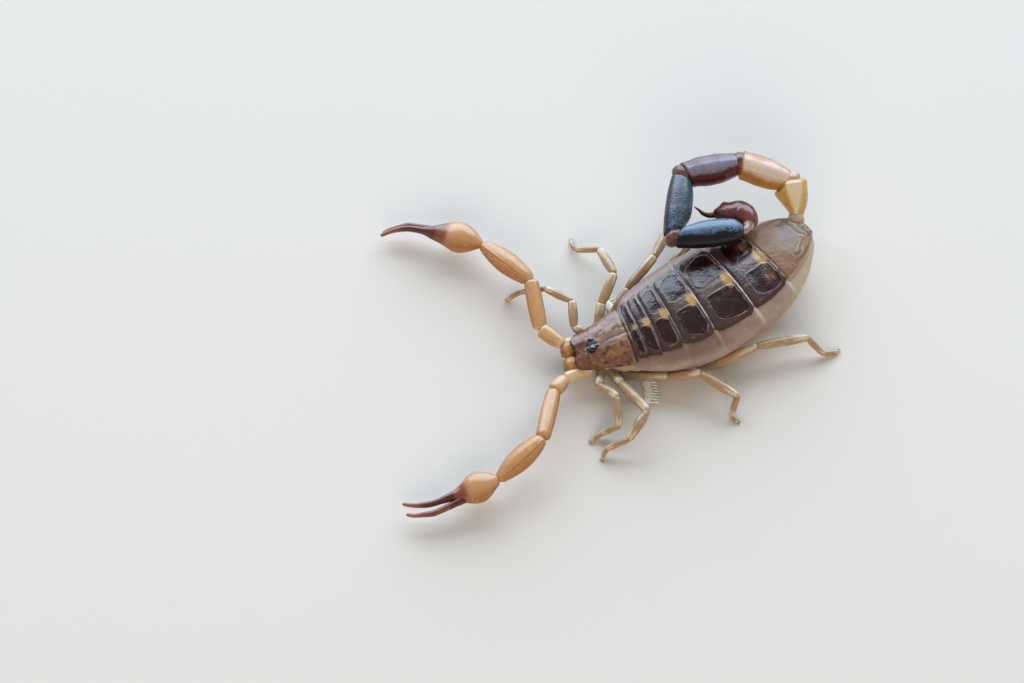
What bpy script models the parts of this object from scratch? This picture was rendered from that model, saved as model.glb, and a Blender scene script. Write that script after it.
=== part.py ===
"""A small desert scorpion, life size, in a resting pose with its tail curled over its back.

The solids are the animal's own plates and limb segments, each in its named object.
Sizes are written in millimetres and turned to metres when a mesh is made.
The head looks along -Y, the animal's left side is +X and +Z is up. The floor is Z = 0,
and the origin is the bottom centre of the whole animal's bounding box.

Run it with: blender --background --python part.py
"""

import math

import bmesh
import bpy
from mathutils import Vector

MM = 0.001

# ---- Trunk: one long arc, because the whole body bends to the animal's right ----
BEND_RADIUS = 38.5  # of the arc that the midline follows
BEND_MIDDLE = 13.15  # distance behind the front edge where the midline runs along Y
BEND_START = 1.0  # that place's Y, before the origin is set
CARAPACE_LENGTH = 5.3
TERGITE_LENGTHS = (0.8, 1.2, 1.85, 2.85, 4.0, 4.0, 5.7)
TRUNK_LENGTH = CARAPACE_LENGTH + sum(TERGITE_LENGTHS)

# Distance behind the front edge, then half width, height of the ridge, of the widest line and of the belly
TRUNK_STATIONS = (
    (5.3, 3.80, 4.45, 2.85, 1.60),
    (7.4, 4.60, 4.90, 2.75, 1.20),
    (10.0, 5.35, 5.35, 2.75, 0.55),
    (12.6, 5.55, 5.60, 2.85, 0.38),
    (16.0, 5.45, 5.60, 2.90, 0.35),
    (18.6, 5.10, 5.40, 2.90, 0.40),
    (21.0, 4.40, 5.10, 2.95, 0.60),
    (23.2, 3.36, 4.75, 3.05, 1.10),
    (24.8, 2.25, 4.45, 3.20, 1.80),
    (25.7, 1.40, 4.20, 3.30, 2.35),
)
# Half angle of the dorsal plates seen from the middle of the body, at the same distances
PLATE_ANGLE_STATIONS = (
    (5.3, 50),
    (7.0, 48),
    (9.0, 44),
    (11.5, 45),
    (15.5, 47),
    (20.0, 47),
    (23.0, 55),
    (25.7, 62),
)
PLATE_THICKNESS = 0.28
GAP = 0.06  # clearance that keeps two touching pieces apart

# Distance behind the front edge as a share of the length, half width, ridge height and rim height
CARAPACE_STATIONS = (
    (0.00, 1.62, 2.75, 2.45),
    (0.10, 1.90, 3.02, 2.50),
    (0.32, 2.12, 3.40, 2.65),
    (0.60, 2.52, 3.88, 3.00),
    (0.88, 2.92, 4.35, 3.30),
    (1.00, 2.90, 4.42, 3.38),
)
CARAPACE_RIM = 0.25
FRONT_NOTCH = 0.30
EYE_DISTANCE = 1.72  # behind the front edge
EYE_SPACING = 0.78
EYE_RADIUS = 0.29

# Distance behind the front edge, half width and belly height of the soft underside of the head part
UNDERSIDE_STATIONS = ((0.55, 0.80, 1.05), (1.35, 0.85, 0.90), (1.9, 1.60, 0.80), (3.0, 1.95, 0.75),
                      (4.2, 2.25, 0.80), (5.24, 2.55, 0.95))

# ---- Jaws ----
# Distance behind the front edge, side and up, then the shape along that path
CHELICERA_PATH = (
    (0.42, 0.44, 1.78),
    (-0.35, 0.47, 1.72),
    (-1.05, 0.36, 1.45),
)
# Shapes are rows of (share of the way, half width, half height)
CHELICERA_SHAPE = (
    (0.0, 0.3, 0.34),
    (0.12, 0.37, 0.42),
    (0.45, 0.4, 0.46),
    (0.72, 0.33, 0.36),
    (0.9, 0.22, 0.22),
    (1.0, 0.1, 0.12),
)

# ---- Limbs: each is a start and a chain of (length, heading, pitch) ----
# Heading 0 points forward, +90 to the animal's left; pitch is above the horizon. Both in degrees.
LEG_HIPS = ((2.05, 2.10, 1.60), (3.05, 2.40, 1.50), (4.15, 2.75, 1.11), (5.05, 2.20, 0.86))
LEG_POSES = {
    "left": (
        ((1.45, 51, 12), (2.45, 104, 19), (2.70, 62, -22), (2.00, -23, -34), (1.20, 0, -22)),
        ((1.70, 87, 21), (4.10, 95, 13), (3.15, 22, -20), (2.40, -18, -30), (1.00, 32, -33)),
        ((3.45, 146, -1), (3.75, 141, 24), (4.00, 118, -9), (2.20, 38, -46), (0.90, 126, -29)),
        ((6.50, 148, -1), (5.40, 166, 18), (4.95, 162, -6), (2.30, 117, -37), (1.50, 166, -17)),
    ),
    "right": (
        ((1.45, -50, 16), (2.50, -116, 21), (2.95, -64, -10), (2.75, -41, -30), (1.55, -13, -33)),
        ((2.20, -130, 18), (3.30, -146, 20), (3.60, -99, -18), (2.75, -52, -33), (1.40, -101, -23)),
        ((4.25, -152, 11), (3.70, -163, 14), (4.00, -144, -14), (3.25, -142, -22), (1.95, -138, -19)),
        ((5.95, -160, -1), (4.75, -164, 20), (4.35, -173, -5), (1.95, -164, -42), (1.35, -138, -28)),
    ),
}
# Half widths of thigh, shin, foot and foot tip for legs one to four
LEG_HALF_WIDTHS = (
    (0.44, 0.44, 0.30, 0.25),
    (0.46, 0.52, 0.30, 0.25),
    (0.46, 0.53, 0.32, 0.25),
    (0.46, 0.52, 0.34, 0.25),
)
FOOT_LEVEL = 0.16  # of the foot's centre line where it meets the floor

# Side is +1 for left; the start is (distance behind the front edge, side, up)
PALP_STARTS = {"left": (0.95, 1.38, 1.52), "right": (0.95, -1.52, 1.52)}
PALP_POSES = {
    "left": ((2.35, -2, 8), (1.80, 22, 11), (5.35, 47, 8), (5.60, 12, -6), (4.20, -6, -4)),
    "right": ((1.60, -16, 10), (2.60, -66, 9), (4.80, -111, 10), (6.20, -74, -6), (5.00, -51, -5)),
}
# Piece, depth of its domed start and end, and its shape
PALP_SHAPES = (
    ("base", 0.0, 0.3, ((0.0, 0.42, 0.50), (0.35, 0.60, 0.62), (0.8, 0.60, 0.62), (1.0, 0.52, 0.56))),
    ("ring", 0.3, 0.3, ((0.0, 0.52, 0.55), (0.3, 0.72, 0.72), (0.7, 0.78, 0.75), (1.0, 0.58, 0.60))),
    (
        "arm",
        0.3,
        0.3,
        (
            (0.0, 0.58, 0.58),
            (0.10, 0.70, 0.68),
            (0.40, 0.78, 0.74),
            (0.75, 0.76, 0.74),
            (0.93, 0.66, 0.66),
            (1.0, 0.52, 0.56),
        ),
    ),
    (
        "forearm",
        0.3,
        0.25,
        (
            (0.0, 0.48, 0.50),
            (0.10, 0.74, 0.70),
            (0.30, 1.05, 0.92),
            (0.52, 1.13, 1.0),
            (0.75, 0.95, 0.88),
            (0.93, 0.58, 0.58),
            (1.0, 0.42, 0.44),
        ),
    ),
)
HAND_SHAPE = (
    (0.0, 0.46, 0.46),
    (0.1, 0.82, 0.8),
    (0.28, 1.22, 1.12),
    (0.48, 1.34, 1.2),
    (0.7, 1.2, 1.08),
    (0.88, 0.92, 0.84),
    (1.0, 0.7, 0.62),
)
HAND_BOW = 0.12  # of the hand to its right
FINGER_LENGTH = 5.0
FINGER_ROOT = 0.5  # how far the fingers reach back into the hand
FINGER_OFFSET = {"left": 0.34, "right": 0.325}  # of each finger from the middle of the hand
FINGER_TILT = {"left": 0, "right": 38}  # how far the fixed finger stands above the moving one, in degrees
FINGER_CURL = {"left": 40, "right": 44}  # degrees that the fingers turn, along their length
FINGER_GAPE = {"left": 5, "right": 0}  # degrees between the two fingers
FINGER_SHAPE = (
    (0.0, 0.31, 0.42),
    (0.15, 0.31, 0.38),
    (0.5, 0.29, 0.33),
    (0.85, 0.26, 0.27),
    (1.0, 0.25, 0.25),
)

# Tail: start, then (length, heading, pitch) for segments one to five
TAIL_START = (-2.40, 13.30, 3.75)
TAIL_POSE = ((3.90, -101, 32), (4.90, -47, 12), (5.50, -17, 2), (6.40, 51, -3), (7.20, 154, 2))
TAIL_HALF_WIDTHS = (1.50, 1.42, 1.42, 1.30, 1.33)
# Each segment's shape, as shares of its half width
TAIL_SHAPES = (
    (
        (0.0, 0.42, 0.42),
        (0.12, 0.6, 0.6),
        (0.4, 0.8, 0.82),
        (0.75, 0.98, 0.98),
        (0.93, 1.0, 0.95),
        (1.0, 0.8, 0.8),
    ),
    (
        (0.0, 0.55, 0.58),
        (0.08, 0.72, 0.74),
        (0.3, 0.95, 0.94),
        (0.62, 1.0, 1.0),
        (0.9, 0.92, 0.92),
        (1.0, 0.72, 0.74),
    ),
    (
        (0.0, 0.52, 0.56),
        (0.08, 0.74, 0.76),
        (0.32, 0.97, 0.96),
        (0.66, 1.0, 1.0),
        (0.9, 0.8, 0.84),
        (1.0, 0.58, 0.62),
    ),
    (
        (0.0, 0.58, 0.6),
        (0.08, 0.82, 0.82),
        (0.32, 0.98, 0.97),
        (0.66, 1.0, 1.0),
        (0.9, 0.86, 0.88),
        (1.0, 0.62, 0.66),
    ),
    (
        (0.0, 0.5, 0.56),
        (0.07, 0.74, 0.78),
        (0.28, 0.97, 0.97),
        (0.55, 1.0, 1.0),
        (0.8, 0.86, 0.86),
        (0.95, 0.6, 0.62),
        (1.0, 0.42, 0.46),
    ),
)
# The sting's bulb, turned back against the fifth segment
BULB_START = (-4.25, 8.85, 6.0)
BULB = ((3.35, -41, -3),)
BULB_HALF_WIDTH = 1.16
BULB_SHAPE = (
    (0.0, 0.4, 0.42),
    (0.1, 0.62, 0.64),
    (0.24, 0.88, 0.88),
    (0.45, 1.0, 1.02),
    (0.68, 0.98, 1.0),
    (0.86, 0.8, 0.82),
    (0.96, 0.5, 0.52),
    (1.0, 0.26, 0.26),
)
STING_START = (-6.22, 6.05, 5.85)
STING = ((0.65, -28, -4), (0.75, -58, 4), (0.75, -84, 12))
STING_SHAPE = (
    (0.0, 0.3, 0.32),
    (0.25, 0.27, 0.28),
    (0.6, 0.25, 0.25),
    (1.0, 0.25, 0.25),
)

PECTEN_ROOT = (6.05, 0.75, 0.29)  # distance behind the front edge, side, up
PECTEN_LENGTH = 5.3
PECTEN_HEADING = 70
PECTEN_TEETH = 15


# ---- Helpers ----
def clear_scene():
    for obj in list(bpy.data.objects):
        bpy.data.objects.remove(obj)


def material(name, colour, roughness, metallic=0.0):
    made = bpy.data.materials.new(name)
    made.use_nodes = True
    shader = made.node_tree.nodes["Principled BSDF"]
    shader.inputs["Base Color"].default_value = (*colour, 1.0)
    shader.inputs["Roughness"].default_value = roughness
    shader.inputs["Metallic"].default_value = metallic
    return made


def between(stations, at):
    """The stations' values at a distance, on a smooth curve through them that never overshoots."""
    if at <= stations[0][0]:
        return stations[0][1:]
    if at >= stations[-1][0]:
        return stations[-1][1:]
    i = next(i for i in range(len(stations) - 1) if stations[i + 1][0] >= at)
    a, b = stations[i], stations[i + 1]
    span = b[0] - a[0]
    share = (at - a[0]) / span
    found = []
    for k in range(1, len(a)):
        rise = (b[k] - a[k]) / span
        slopes = []
        for j in (i, i + 1):
            if 0 < j < len(stations) - 1:
                before = (stations[j][k] - stations[j - 1][k]) / (stations[j][0] - stations[j - 1][0])
                after = (stations[j + 1][k] - stations[j][k]) / (stations[j + 1][0] - stations[j][0])
                slopes.append(0 if before * after <= 0 else 2 * before * after / (before + after))
            else:
                slopes.append(rise)
        h = share
        found.append(
            a[k] * (2 * h**3 - 3 * h**2 + 1)
            + span * slopes[0] * (h**3 - 2 * h**2 + h)
            + b[k] * (3 * h**2 - 2 * h**3)
            + span * slopes[1] * (h**3 - h**2)
        )
    return tuple(found)


def on_trunk(distance, side, up):
    """A point beside the curved midline: distance behind the front edge, side to the left."""
    turn = (distance - BEND_MIDDLE) / BEND_RADIUS
    x = BEND_RADIUS * (math.cos(turn) - 1) + side * math.cos(turn)
    y = BEND_START + BEND_RADIUS * math.sin(turn) + side * math.sin(turn)
    return Vector((x, y, up))


def direction(heading, pitch):
    h, p = math.radians(heading), math.radians(pitch)
    return Vector((math.sin(h) * math.cos(p), -math.cos(h) * math.cos(p), math.sin(p)))


def chain(start, steps):
    points = [Vector(start)]
    for length, heading, pitch in steps:
        points.append(points[-1] + length * direction(heading, pitch))
    return points


def finish(name, bm, surface):
    """Turns a bmesh into a smooth-shaded object, still in millimetres."""
    bmesh.ops.recalc_face_normals(bm, faces=bm.faces)
    if bm.calc_volume(signed=True) < 0:
        bmesh.ops.reverse_faces(bm, faces=bm.faces)
    mesh = bpy.data.meshes.new(name)
    bm.to_mesh(mesh)
    bm.free()
    mesh.shade_smooth()
    mesh.set_sharp_from_angle(angle=math.radians(50))
    mesh.materials.append(surface)
    obj = bpy.data.objects.new(name, mesh)
    bpy.context.scene.collection.objects.link(obj)
    return obj


def combine(obj, other, operation):
    """Applies a Boolean with another object, which is used up."""
    boolean = obj.modifiers.new(operation, "BOOLEAN")
    boolean.operation = operation
    boolean.object = other
    bpy.context.view_layer.update()
    evaluated = obj.evaluated_get(bpy.context.evaluated_depsgraph_get())
    obj.data = bpy.data.meshes.new_from_object(evaluated)
    obj.modifiers.clear()
    bpy.data.objects.remove(other)


def bridge(bm, rings):
    """Closes a stack of rings of points into one body with a flat cap at each end."""
    loops = [[bm.verts.new(p) for p in ring] for ring in rings]
    count = len(loops[0])
    for low, high in zip(loops, loops[1:]):
        for i in range(count):
            j = (i + 1) % count
            bm.faces.new((low[i], low[j], high[j], high[i]))
    bm.faces.new(loops[0][::-1])
    bm.faces.new(loops[-1])


def cut(bm, point, normal):
    """Removes what lies beyond a plane and closes the cut with a flat face."""
    geometry = bm.verts[:] + bm.edges[:] + bm.faces[:]
    bmesh.ops.bisect_plane(bm, geom=geometry, plane_co=point, plane_no=normal, clear_outer=True)
    rim = [edge for edge in bm.edges if edge.is_boundary]
    if rim:
        bmesh.ops.holes_fill(bm, edges=rim)


def superellipse(angle, squareness):
    """Unit (side, up) at an angle from the top; 2 is an ellipse and more is squarer."""
    s, c = math.sin(angle), math.cos(angle)
    power = 2 / squareness
    return math.copysign(abs(s) ** power, s), math.copysign(abs(c) ** power, c)


def path_point(points, share):
    """Point and direction at a share of the way along a smooth curve through the points."""
    spans = len(points) - 1
    at = min(max(share, 0.0), 1.0) * spans
    i = min(int(at), spans - 1)
    t = at - i
    p0 = points[i - 1] if i else 2 * points[0] - points[1]
    p1, p2 = points[i], points[i + 1]
    p3 = points[i + 2] if i + 2 < len(points) else 2 * points[-1] - points[-2]
    linear = p2 - p0
    square = 2 * p0 - 5 * p1 + 4 * p2 - p3
    cube = 3 * p1 - p0 - 3 * p2 + p3
    place = 0.5 * (2 * p1 + linear * t + square * t**2 + cube * t**3)
    heading = (linear + 2 * square * t + 3 * cube * t**2).normalized()
    beyond = share - min(max(share, 0.0), 1.0)
    length = sum((b - a).length for a, b in zip(points, points[1:]))
    return place + heading * beyond * length, heading


def segment(name, points, profile, surface, sides=12, squareness=2.2, cuts=()):
    """A limb segment along a path. profile lists (share of the way, half width, half height)."""
    rings = []
    for share, half_width, half_height in profile:
        place, along = path_point(points, share)
        left = Vector((0, 0, 1)).cross(along).normalized()
        up = along.cross(left)
        ring = []
        for k in range(sides):
            side, rise = superellipse(2 * math.pi * (k + 0.5) / sides, squareness)
            ring.append(place + left * (side * half_width) + up * (rise * half_height))
        rings.append(ring)
    bm = bmesh.new()
    bridge(bm, rings)
    for point, normal in cuts:
        cut(bm, point, normal)
    return finish(name, bm, surface)


def tail_root():
    """The plane between the trunk and the tail, halfway between their directions."""
    start = Vector(TAIL_START)
    return joint_cuts(on_trunk(TRUNK_LENGTH - 2, 0, start.z), start, start + direction(*TAIL_POSE[0][1:]))


def joint_cuts(before, here, after):
    """The two cuts, one for each neighbour, where a limb bends at a joint."""
    normal = ((here - before).normalized() + (after - here).normalized()).normalized()
    return (here - normal * GAP / 2, normal), (here + normal * GAP / 2, -normal)


def rounded(profile, length, start_round, end_round):
    """Adds a domed end to a profile: the ends' rounds are the domes' depths in mm, or 0 for none."""
    grown = list(profile)
    for depth, first in ((start_round, True), (end_round, False)):
        if not depth:
            continue
        share, half_width, half_height = grown[0] if first else grown[-1]
        sign = -1 if first else 1
        domes = [
            (share + sign * depth / length * out, half_width * wide, half_height * wide)
            for out, wide in ((0.62, 0.80), (1.0, 0.38))
        ]
        grown = domes[::-1] + grown if first else grown + domes
    return grown


# ---- Trunk ----
def flank(distance, angle, inward=0.0):
    """A point of the abdomen's outline; the angle runs from the ridge, + to the animal's left."""
    half_width, ridge, waist, belly = between(TRUNK_STATIONS, distance)
    side, rise = superellipse(angle, 2.15)
    height = (ridge - waist) if rise > 0 else (waist - belly)
    shrink = 1 - inward / half_width
    return on_trunk(distance, side * half_width * shrink, waist + rise * (height - inward))


def plate_angle(distance):
    return math.radians(between(PLATE_ANGLE_STATIONS, distance)[0])


PLATE_COLUMNS = [-1 + i / 4 for i in range(9)]


def shell(name, surface, top, under, rows, columns, cuts=()):
    """A curved plate: two grids of points joined along their rims."""
    bm = bmesh.new()
    grids = [[[bm.verts.new(place(u, v)) for v in columns] for u in rows] for place in (top, under)]
    for grid in grids:
        for a, b in zip(grid, grid[1:]):
            for i in range(len(columns) - 1):
                bm.faces.new((a[i], a[i + 1], b[i + 1], b[i]))
    upper, lower = grids
    rim = [(r, 0) for r in range(len(rows))] + [(len(rows) - 1, c) for c in range(1, len(columns))]
    rim += [(r, len(columns) - 1) for r in range(len(rows) - 2, -1, -1)]
    rim += [(0, c) for c in range(len(columns) - 2, 0, -1)]
    for (r, c), (q, d) in zip(rim, rim[1:] + rim[:1]):
        bm.faces.new((upper[r][c], upper[q][d], lower[q][d], lower[r][c]))
    for point, normal in cuts:
        cut(bm, point, normal)
    return finish(name, bm, surface)


def make_tergites(surfaces):
    start = CARAPACE_LENGTH
    for number, length in enumerate(TERGITE_LENGTHS, 1):
        first, last = start + GAP / 2, start + length - GAP / 2
        steps = 3 if length < 3 else 4
        rows = [first + (last - first) * i / steps for i in range(steps + 1)]

        def top(u, v):
            return flank(u, v * plate_angle(u))

        def under(u, v):
            return flank(u, v * plate_angle(u), PLATE_THICKNESS)

        is_last = number == len(TERGITE_LENGTHS)
        surface = surfaces["last_plate" if is_last else "plate"]
        cuts = (tail_root()[0],) if is_last else ()
        shell(f"tergite_{number}", surface, top, under, rows, PLATE_COLUMNS, cuts)
        start += length


def make_abdomen(surface):
    """The soft body between carapace and tail, sunk under the plates so that they lie flush."""
    first, last = CARAPACE_LENGTH + GAP, TRUNK_LENGTH + 0.15
    steps = 15
    sunk = PLATE_THICKNESS + GAP
    rings = []
    for i in range(steps + 1):
        distance = first + (last - first) * i / steps
        edge = plate_angle(distance)
        lip = edge + 1.6 * GAP / between(TRUNK_STATIONS, distance)[0]
        ring = [flank(distance, v * edge, sunk) for v in PLATE_COLUMNS]
        flank_steps = 10
        for k in range(flank_steps + 1):
            angle = lip + (2 * math.pi - 2 * lip) * k / flank_steps
            ring.append(flank(distance, angle))
        rings.append(ring)
    bm = bmesh.new()
    bridge(bm, rings)
    cut(bm, *tail_root()[0])
    return finish("abdomen", bm, surface)


def carapace_place(u, v, under=False):
    """A point of the head shield: u from front to rear, v from right to left."""
    half_width, ridge, rim = between(CARAPACE_STATIONS, u)
    front = FRONT_NOTCH * (1 - min(abs(v) * 2.2, 1.0)) ** 2 + 0.22 * abs(v) ** 6
    rear = CARAPACE_LENGTH - GAP / 2 - 0.12 * abs(v) ** 4
    distance = front * (1 - u) + rear * u
    if under:
        return on_trunk(distance, v * half_width, rim - CARAPACE_RIM)
    crown = (1 - abs(v) ** 2.2) ** 0.75
    groove = 0.10 * math.exp(-((v / 0.10) ** 2)) * u
    return on_trunk(distance, v * half_width, rim + (ridge - rim) * crown - groove)


def make_carapace(surface, eye_places):
    rows = [0, 0.05, 0.14, 0.27, 0.42, 0.60, 0.78, 0.92, 1.0]
    columns = [-1, -0.94, -0.78, -0.55, -0.3, -0.1, 0, 0.1, 0.3, 0.55, 0.78, 0.94, 1]
    obj = shell("carapace", surface, carapace_place, lambda u, v: carapace_place(u, v, True), rows, columns)
    for place in eye_places:
        bm = bmesh.new()
        bmesh.ops.create_icosphere(bm, subdivisions=2, radius=EYE_RADIUS + GAP)
        bmesh.ops.translate(bm, vec=place, verts=bm.verts)
        combine(obj, finish("eye_socket_cutter", bm, surface), "DIFFERENCE")


def make_eyes(surface):
    places = []
    for name, side in (("eye_left", 1), ("eye_right", -1)):
        half_width, ridge, rim = between(CARAPACE_STATIONS, EYE_DISTANCE / CARAPACE_LENGTH)
        place = on_trunk(EYE_DISTANCE, side * EYE_SPACING / 2, ridge - 0.02)
        bm = bmesh.new()
        bmesh.ops.create_icosphere(bm, subdivisions=2, radius=EYE_RADIUS)
        bmesh.ops.translate(bm, vec=place, verts=bm.verts)
        finish(name, bm, surface)
        places.append(place)
    return places


def make_underside(surface):
    rings = []
    steps = 8
    first, last = UNDERSIDE_STATIONS[0][0], UNDERSIDE_STATIONS[-1][0]
    for i in range(steps + 1):
        distance = first + (last - first) * i / steps
        half_width, belly = between(UNDERSIDE_STATIONS, distance)
        rim = between(CARAPACE_STATIONS, (distance - 0.35) / CARAPACE_LENGTH)[2]
        top = rim - CARAPACE_RIM - GAP
        middle = (top + belly) / 2
        ring = []
        for k in range(14):
            side, rise = superellipse(2 * math.pi * (k + 0.5) / 14, 3.0)
            ring.append(on_trunk(distance, side * half_width, middle + rise * (top - belly) / 2))
        rings.append(ring)
    bm = bmesh.new()
    bridge(bm, rings)
    return finish("head_underside", bm, surface)


# ---- Mouth parts, combs and limbs ----
def make_chelicerae(surface):
    for name, side in (("chelicera_left", 1), ("chelicera_right", -1)):
        points = [on_trunk(distance, side * out, up) for distance, out, up in CHELICERA_PATH]
        segment(name, points, CHELICERA_SHAPE, surface, sides=9)


def make_pectines(surface):
    """A comb under each side: a flat spine with a row of teeth along its rear edge."""
    for name, side in (("pecten_left", 1), ("pecten_right", -1)):
        distance, out, up = PECTEN_ROOT
        start = on_trunk(distance, side * out, up)
        lean = math.degrees((distance - BEND_MIDDLE) / BEND_RADIUS)
        heading = side * PECTEN_HEADING + (0 if side > 0 else 2 * lean)
        along = direction(heading, 0)
        back = Vector((-along.y, along.x, 0)) * side
        low, high = up - 0.20, up + 0.18
        front, spine, tooth_tip = -0.42, 0.12, 0.62
        pitch = (PECTEN_LENGTH - 0.5) / PECTEN_TEETH
        outline = [(0.0, front * 0.5), (0.6, front), (PECTEN_LENGTH - 0.9, front * 0.8), (PECTEN_LENGTH, 0.0)]
        for k in range(PECTEN_TEETH, 0, -1):
            outward = 0.25 + pitch * k
            reach = tooth_tip - 0.35 * (k / PECTEN_TEETH) ** 4
            outline += [(outward, spine), (outward - pitch * 0.22, reach), (outward - pitch * 0.72, reach)]
        outline.append((0.25, spine))
        bm = bmesh.new()
        rings = []
        for height in (low, high):
            rings.append([start + along * a + back * b + Vector((0, 0, height - up)) for a, b in outline])
        bridge(bm, rings)
        finish(name, bm, surface)


def make_legs(surface):
    for side_name, side in (("left", 1), ("right", -1)):
        for number, (distance, out, up) in enumerate(LEG_HIPS, 1):
            thigh, shin, foot, tip = LEG_HALF_WIDTHS[number - 1]
            steps = LEG_POSES[side_name][number - 1]
            joints = chain(on_trunk(distance, side * out, up), steps)
            joints[-1].z = FOOT_LEVEL
            hip, bend, knee, ankle, toe_start, toe = joints
            knee_cuts = joint_cuts(bend, knee, ankle)
            ankle_cuts = joint_cuts(knee, ankle, toe_start)
            label = f"leg_{side_name}_{number}"
            length = steps[0][0] + steps[1][0]
            turn = steps[0][0] / length
            profile = [
                (0.0, thigh * 0.8, thigh * 0.8),
                (turn * 0.5, thigh * 0.95, thigh),
                (turn, thigh, thigh),
                (0.72, thigh * 1.02, thigh * 1.1),
                (0.90, thigh * 0.85, thigh * 0.9),
                (1.0, thigh * 0.72, thigh * 0.78),
            ]
            path = [hip, bend, bend + (knee - bend) * 0.5, knee]
            profile = rounded(profile, length, 0.18, 0.3)
            segment(f"{label}_thigh", path, profile, surface, 8, cuts=(knee_cuts[0],))
            length = (ankle - knee).length
            profile = [
                (0.0, shin * 0.62, shin * 0.70),
                (0.12, shin * 0.80, shin * 0.86),
                (0.42, shin * 0.98, shin * 1.05),
                (0.75, shin * 0.86, shin * 0.88),
                (1.0, shin * 0.56, shin * 0.62),
            ]
            profile = rounded(profile, length, 0.3, 0.22)
            segment(f"{label}_shin", [knee, ankle], profile, surface, 8, cuts=(knee_cuts[1], ankle_cuts[0]))
            length = (toe_start - ankle).length + (toe - toe_start).length
            profile = [
                (0.0, foot * 0.9, foot),
                (0.22, foot, foot * 1.08),
                (0.5, foot * 0.92, foot),
                (0.78, tip, tip * 1.05),
                (1.0, tip, tip),
            ]
            profile = rounded(profile, length, 0.2, 0.12)
            floor = (Vector((0, 0, 0)), Vector((0, 0, -1)))
            segment(f"{label}_foot", [ankle, toe_start, toe], profile, surface, 8, cuts=(ankle_cuts[1], floor))


def make_palps(surface, finger_surface):
    for side_name in ("left", "right"):
        distance, out, up = PALP_STARTS[side_name]
        steps = PALP_POSES[side_name]
        joints = chain(on_trunk(distance, out, up), steps)
        cuts = [joint_cuts(*joints[i - 1 : i + 2]) for i in range(1, 5)]
        label = f"palp_{side_name}"
        for i, (part, start_round, end_round, profile) in enumerate(PALP_SHAPES):
            a, b = joints[i], joints[i + 1]
            trims = ([cuts[i - 1][1]] if i else []) + [cuts[i][0]]
            profile = rounded(profile, (b - a).length, start_round, end_round)
            segment(f"{label}_{part}", [a, b], profile, surface, 12 if i > 1 else 10, cuts=trims)
        wrist, knuckle = joints[4], joints[5]
        along = (knuckle - wrist).normalized()
        heading, pitch = steps[4][1], steps[4][2]
        sideways = Vector((0, 0, 1)).cross(along).normalized()
        curl, gape = FINGER_CURL[side_name], FINGER_GAPE[side_name]
        tilt = math.radians(FINGER_TILT[side_name])
        inner = 1 if side_name == "left" else -1
        apart = Vector((0, 0, 1)) * math.sin(tilt) - sideways * inner * math.cos(tilt)
        apart *= FINGER_OFFSET[side_name]
        fingers = {}
        for finger, shift in (("fixed", 1), ("moving", -1)):
            root = knuckle - along * FINGER_ROOT + apart * shift
            bends = [heading - inner * curl * share for share in (0.0, 0.15, 0.5, 1.0)]
            arms = []
            for k, bend in enumerate(bends):
                length = FINGER_LENGTH / 4 + (0 if k else FINGER_ROOT)
                arms.append((length, bend - inner * shift * gape / 2, pitch - 1 - 2 * k))
            fingers[finger] = chain(root, arms)
        split = knuckle - along * 0.15
        hand = rounded(HAND_SHAPE, steps[4][0], 0.25, 0.0)
        middle = (wrist + split) / 2 - sideways * HAND_BOW
        path = [wrist, middle, split]
        made = {"hand": segment(f"{label}_hand", path, hand, surface, 14, cuts=(cuts[3][1],))}
        for finger in ("fixed", "moving"):
            profile = rounded(FINGER_SHAPE, FINGER_LENGTH, 0.0, 0.2)
            root_cut = split + along * GAP if finger == "moving" else split - along * 0.3
            name = f"{label}_finger_{finger}"
            made[finger] = segment(name, fingers[finger], profile, finger_surface, 10, cuts=((root_cut, -along),))
        combine(made["hand"], made["fixed"], "UNION")


def make_tail(surfaces):
    joints = chain(TAIL_START, TAIL_POSE)
    ends = [joint_cuts(*joints[i - 1 : i + 2]) for i in range(1, 5)]
    for i, shape in enumerate(TAIL_SHAPES):
        half_width = TAIL_HALF_WIDTHS[i]
        profile = [(t, w * half_width, h * half_width * 0.95) for t, w, h in shape]
        profile = rounded(profile, TAIL_POSE[i][0], 0.45, 0.45 if i < 4 else 0.15)
        trims = [ends[i - 1][1] if i else tail_root()[1]] + ([ends[i][0]] if i < 4 else [])
        segment(f"tail_{i + 1}", [joints[i], joints[i + 1]], profile, surfaces[i], 16, 2.3, cuts=trims)
    bulb = chain(BULB_START, BULB)
    profile = [(share, wide * BULB_HALF_WIDTH, high * BULB_HALF_WIDTH) for share, wide, high in BULB_SHAPE]
    segment("sting_bulb", bulb, profile, surfaces[5], 16, 2.1)
    segment("sting_point", chain(STING_START, STING), STING_SHAPE, surfaces[6], 10)


def rest_on_origin():
    """Moves every mesh so that the whole animal's box stands centred on the origin."""
    solids = [obj for obj in bpy.data.objects if obj.type == "MESH"]
    shown = [vertex.co for obj in solids if not obj.hide_render for vertex in obj.data.vertices]
    low = [min(point[axis] for point in shown) for axis in range(3)]
    high = [max(point[axis] for point in shown) for axis in range(3)]
    shift = Vector((-(low[0] + high[0]) / 2, -(low[1] + high[1]) / 2, -low[2]))
    for obj in solids:
        for vertex in obj.data.vertices:
            vertex.co = (vertex.co + shift) * MM


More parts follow.
